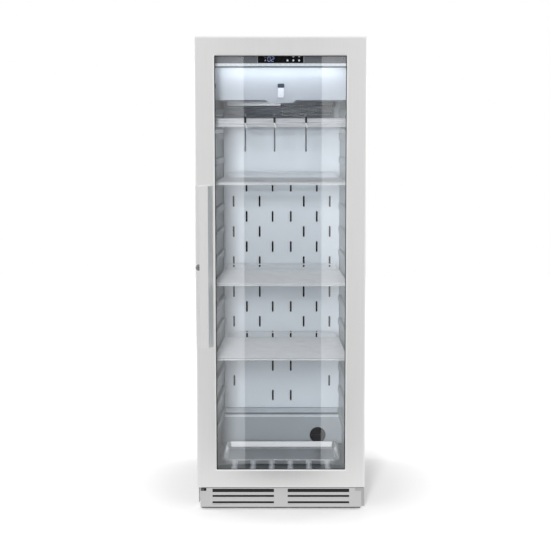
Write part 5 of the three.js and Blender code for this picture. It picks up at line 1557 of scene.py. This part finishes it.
for place in ("top", "middle", "bottom"):
    wire_shelf(f"shelf_{place}")
for place in ("left", "middle", "right"):
    hook(f"hook_{place}")
drip_tray()
liner_floor()
liner_side("liner_left", -1, liner_left)
liner_side("liner_right", 1, liner_right)
duct_panel()
filter_cap()
display()
for number in range(1, 6):
    button(f"button_{number}")
air_sensor()
evaporator_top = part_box("evaporator_coil")[0].z + EVAPORATOR_PACK
condenser_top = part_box("condenser_coil")[1].z
coil("evaporator", "evaporator_coil", 0, EVAPORATOR_FINS, EVAPORATOR_ROWS, evaporator_top)
coil("condenser", "condenser_coil", 1, CONDENSER_FINS, CONDENSER_ROWS, condenser_top)
lock()
door_inner_frame()
pane_seal()
light_channel()
coil_baffle()
for place in ("front_left", "front_right", "rear_left", "rear_right"):
    foot(f"foot_{place}")
door_gasket()
compressor()
fan("evaporator_fan_frame", "evaporator_fan_rotor", 1, 1)
fan("condenser_fan_frame", "condenser_fan_rotor", 0, -1)
back_screws()
hump_ledge()
plinth_seal_shade()


# Studio
def studio_surface(name, corners, material):
    mesh = bpy.data.meshes.new(name)
    mesh.from_pydata(corners, [], [(0, 1, 2, 3)])
    mesh.materials.append(material)
    surface = bpy.data.objects.new(name, mesh)
    bpy.context.collection.objects.link(surface)
    return surface


# White where the camera, metal or glass sees it, and plain pale where it only lights the object
def seen_rays(tree):
    rays = add(tree, "LightPath")
    metal = add(tree, "Math", {"operation": "MAXIMUM"}, {
        0: rays.outputs["Is Camera Ray"], 1: rays.outputs["Is Glossy Ray"],
    })
    return add(tree, "Math", {"operation": "MAXIMUM"}, {
        0: metal.outputs[0], 1: rays.outputs["Is Transmission Ray"],
    }).outputs[0]


# The floor's own light is weaker near the cabinet, which paints a darker zone round it on top of its
# shadow, and grows away from it, so no horizon shows
def floor_paint(tree):
    plain = add(tree, "BsdfDiffuse", inputs={
        "Color": between(tree, place_noise(tree, 40.0), (0.80, 0.80, 0.80, 1.0), (0.82, 0.82, 0.82, 1.0)),
    }).outputs[0]
    away = add(tree, "VectorMath", {"operation": "LENGTH"}, {0: object_place(tree)})
    growth = add(tree, "MapRange", inputs={
        "Value": away.outputs["Value"], "From Min": FLOOR_NEAR, "From Max": FLOOR_FAR,
        "To Min": FLOOR_LIFT, "To Max": 1.0,
    })
    bright = add(tree, "AddShader", inputs={0: plain, 1: glow(tree, growth.outputs[0])})
    mixed = mixed_shader(tree, seen_rays(tree), plain, bright.outputs[0])
    mirrored = add(tree, "LightPath").outputs["Is Glossy Ray"]
    return mixed_shader(tree, mirrored, mixed, glow(tree, FLOOR_MIRRORED))


def studio_floor():
    corners = [(x * FLOOR_HALF, y * FLOOR_HALF, 0) for x, y in ((-1, -1), (1, -1), (1, 1), (-1, 1))]
    studio_surface("floor", corners, surfaced("floor_paint", floor_paint))


def studio_world():
    world = bpy.data.worlds.new("studio")
    bpy.context.scene.world = world
    world.use_nodes = True
    tree = world.node_tree
    tree.nodes.clear()
    seen = add(tree, "Background", inputs={"Color": WHITE, "Strength": 1.0})
    lit = add(tree, "Background", inputs={"Color": WHITE, "Strength": WORLD_LIGHT})
    mixed = mixed_shader(tree, seen_rays(tree), lit.outputs[0], seen.outputs[0])
    add(tree, "OutputWorld", inputs={"Surface": mixed})


# Cards that only reflections see
def reflected(name, corners, material):
    card = studio_surface(name, corners, material)
    card.visible_camera = False
    card.visible_diffuse = False
    card.visible_transmission = False
    card.visible_shadow = False


def upright_card(name, ends, material):
    (x0, x1), (z0, z1) = ends, REFLECTED_CARD_Z
    corners = [(x, REFLECTED_CARD_Y, z) for x, z in ((x0, z0), (x1, z0), (x1, z1), (x0, z1))]
    reflected(name, corners, material)


# A dark card behind the camera: the clear middle of the glass
def dark_paint(tree):
    film = place_noise(tree, 3.0)
    return {
        "Base Color": between(tree, film, (0.01, 0.01, 0.01, 1.0), (0.014, 0.014, 0.014, 1.0)),
        "Roughness": 0.9,
    }


def dark_card():
    upright_card("card", REFLECTED_CARD_X, principled("card_black", dark_paint))


# The same dark middle laid on the floor, where the lower half of the glass looks
def floor_card():
    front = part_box("outer_pane")[0].y
    eye_x, eye_y = CAMERA_PLACE[:2]
    mirrored_y = 2 * front - eye_y
    corners = []
    for y, ends in ((front - FLOOR_CARD_GAP, (0, 1)), (REFLECTED_CARD_Y, (1, 0))):
        for end in ends:
            slope = (REFLECTED_CARD_X[end] - eye_x) / (mirrored_y - REFLECTED_CARD_Y)
            corners.append((eye_x + slope * (mirrored_y - y), y, FLOOR_CARD_Z))
    reflected("card_floor", corners, surfaced("card_floor", glow, FLOOR_CARD_LIGHT))


# A card beside the dark one that fades out to the left, as the reflection does
def fading(tree):
    spread = add(tree, "TexCoord").outputs["Generated"]
    across = add(tree, "SeparateXYZ", inputs={"Vector": spread})
    fade = add(tree, "MapRange", inputs={
        "Value": across.outputs["X"], "To Min": FADED_CARD_LOW, "To Max": 1.0,
    })
    return glow(tree, fade.outputs[0])


def faded_card():
    upright_card("card_fade", FADED_CARD_X, surfaced("card_faded", fading))


# Lamps: name, place, target, width, height, power and colour, in metres and watts
LAMPS = (
    ("key", (-0.42, -4.4, 1.5), (-0.05, 0, 1.0), 0.5, 1.5, 170, (1.0, 1.0, 1.0)),
    ("left", (-3.2, 0.8, 2.0), (0, 0, 0.8), 1.6, 2.0, 44, (1.0, 1.0, 1.0)),
    ("right", (3.2, 0.8, 2.0), (0, 0, 0.8), 1.6, 2.0, 34, (1.0, 1.0, 1.0)),
    ("back", (0.0, 3.6, 2.4), (0, 0, 0.8), 2.4, 2.0, 42, (1.0, 1.0, 1.0)),
    ("cabinet_light", (0, -0.152, 1.573), (0, -0.135, 1.4), 0.44, 0.02, 0.34, (0.92, 0.965, 1.0)),
    ("room_light", (0, -0.03, 1.43), (0, 0.27, 1.0), 0.36, 0.02, 0.24, (0.94, 0.97, 1.0)),
)
ROOM_LIGHT_SPREAD = math.radians(150)


def area_light(name, place, target, width, height, power, color):
    data = bpy.data.lights.new(name, "AREA")
    data.shape = "RECTANGLE"
    data.size = width
    data.size_y = height
    data.energy = power
    data.color = color
    light = bpy.data.objects.new(name, data)
    light.location = place
    light.rotation_mode = "QUATERNION"
    light.rotation_quaternion = (Vector(target) - Vector(place)).to_track_quat("-Z", "Y")
    light.visible_camera = False
    bpy.context.collection.objects.link(light)
    return light


def camera():
    data = bpy.data.cameras.new("camera")
    data.lens = CAMERA_LENS
    data.sensor_width = CAMERA_SENSOR
    data.shift_x, data.shift_y = CAMERA_SHIFT
    data.clip_end = CAMERA_REACH
    eye = bpy.data.objects.new("camera", data)
    eye.location = CAMERA_PLACE
    eye.rotation_euler = (math.radians(90) - CAMERA_PITCH, 0, 0)
    bpy.context.collection.objects.link(eye)
    bpy.context.scene.camera = eye


studio_world()
studio_floor()
dark_card()
floor_card()
faded_card()
camera()
lamps = {row[0]: area_light(*row) for row in LAMPS}
lamps["key"].visible_glossy = False
lamps["room_light"].data.spread = ROOM_LIGHT_SPREAD

bpy.context.scene.view_settings.view_transform = "Standard"
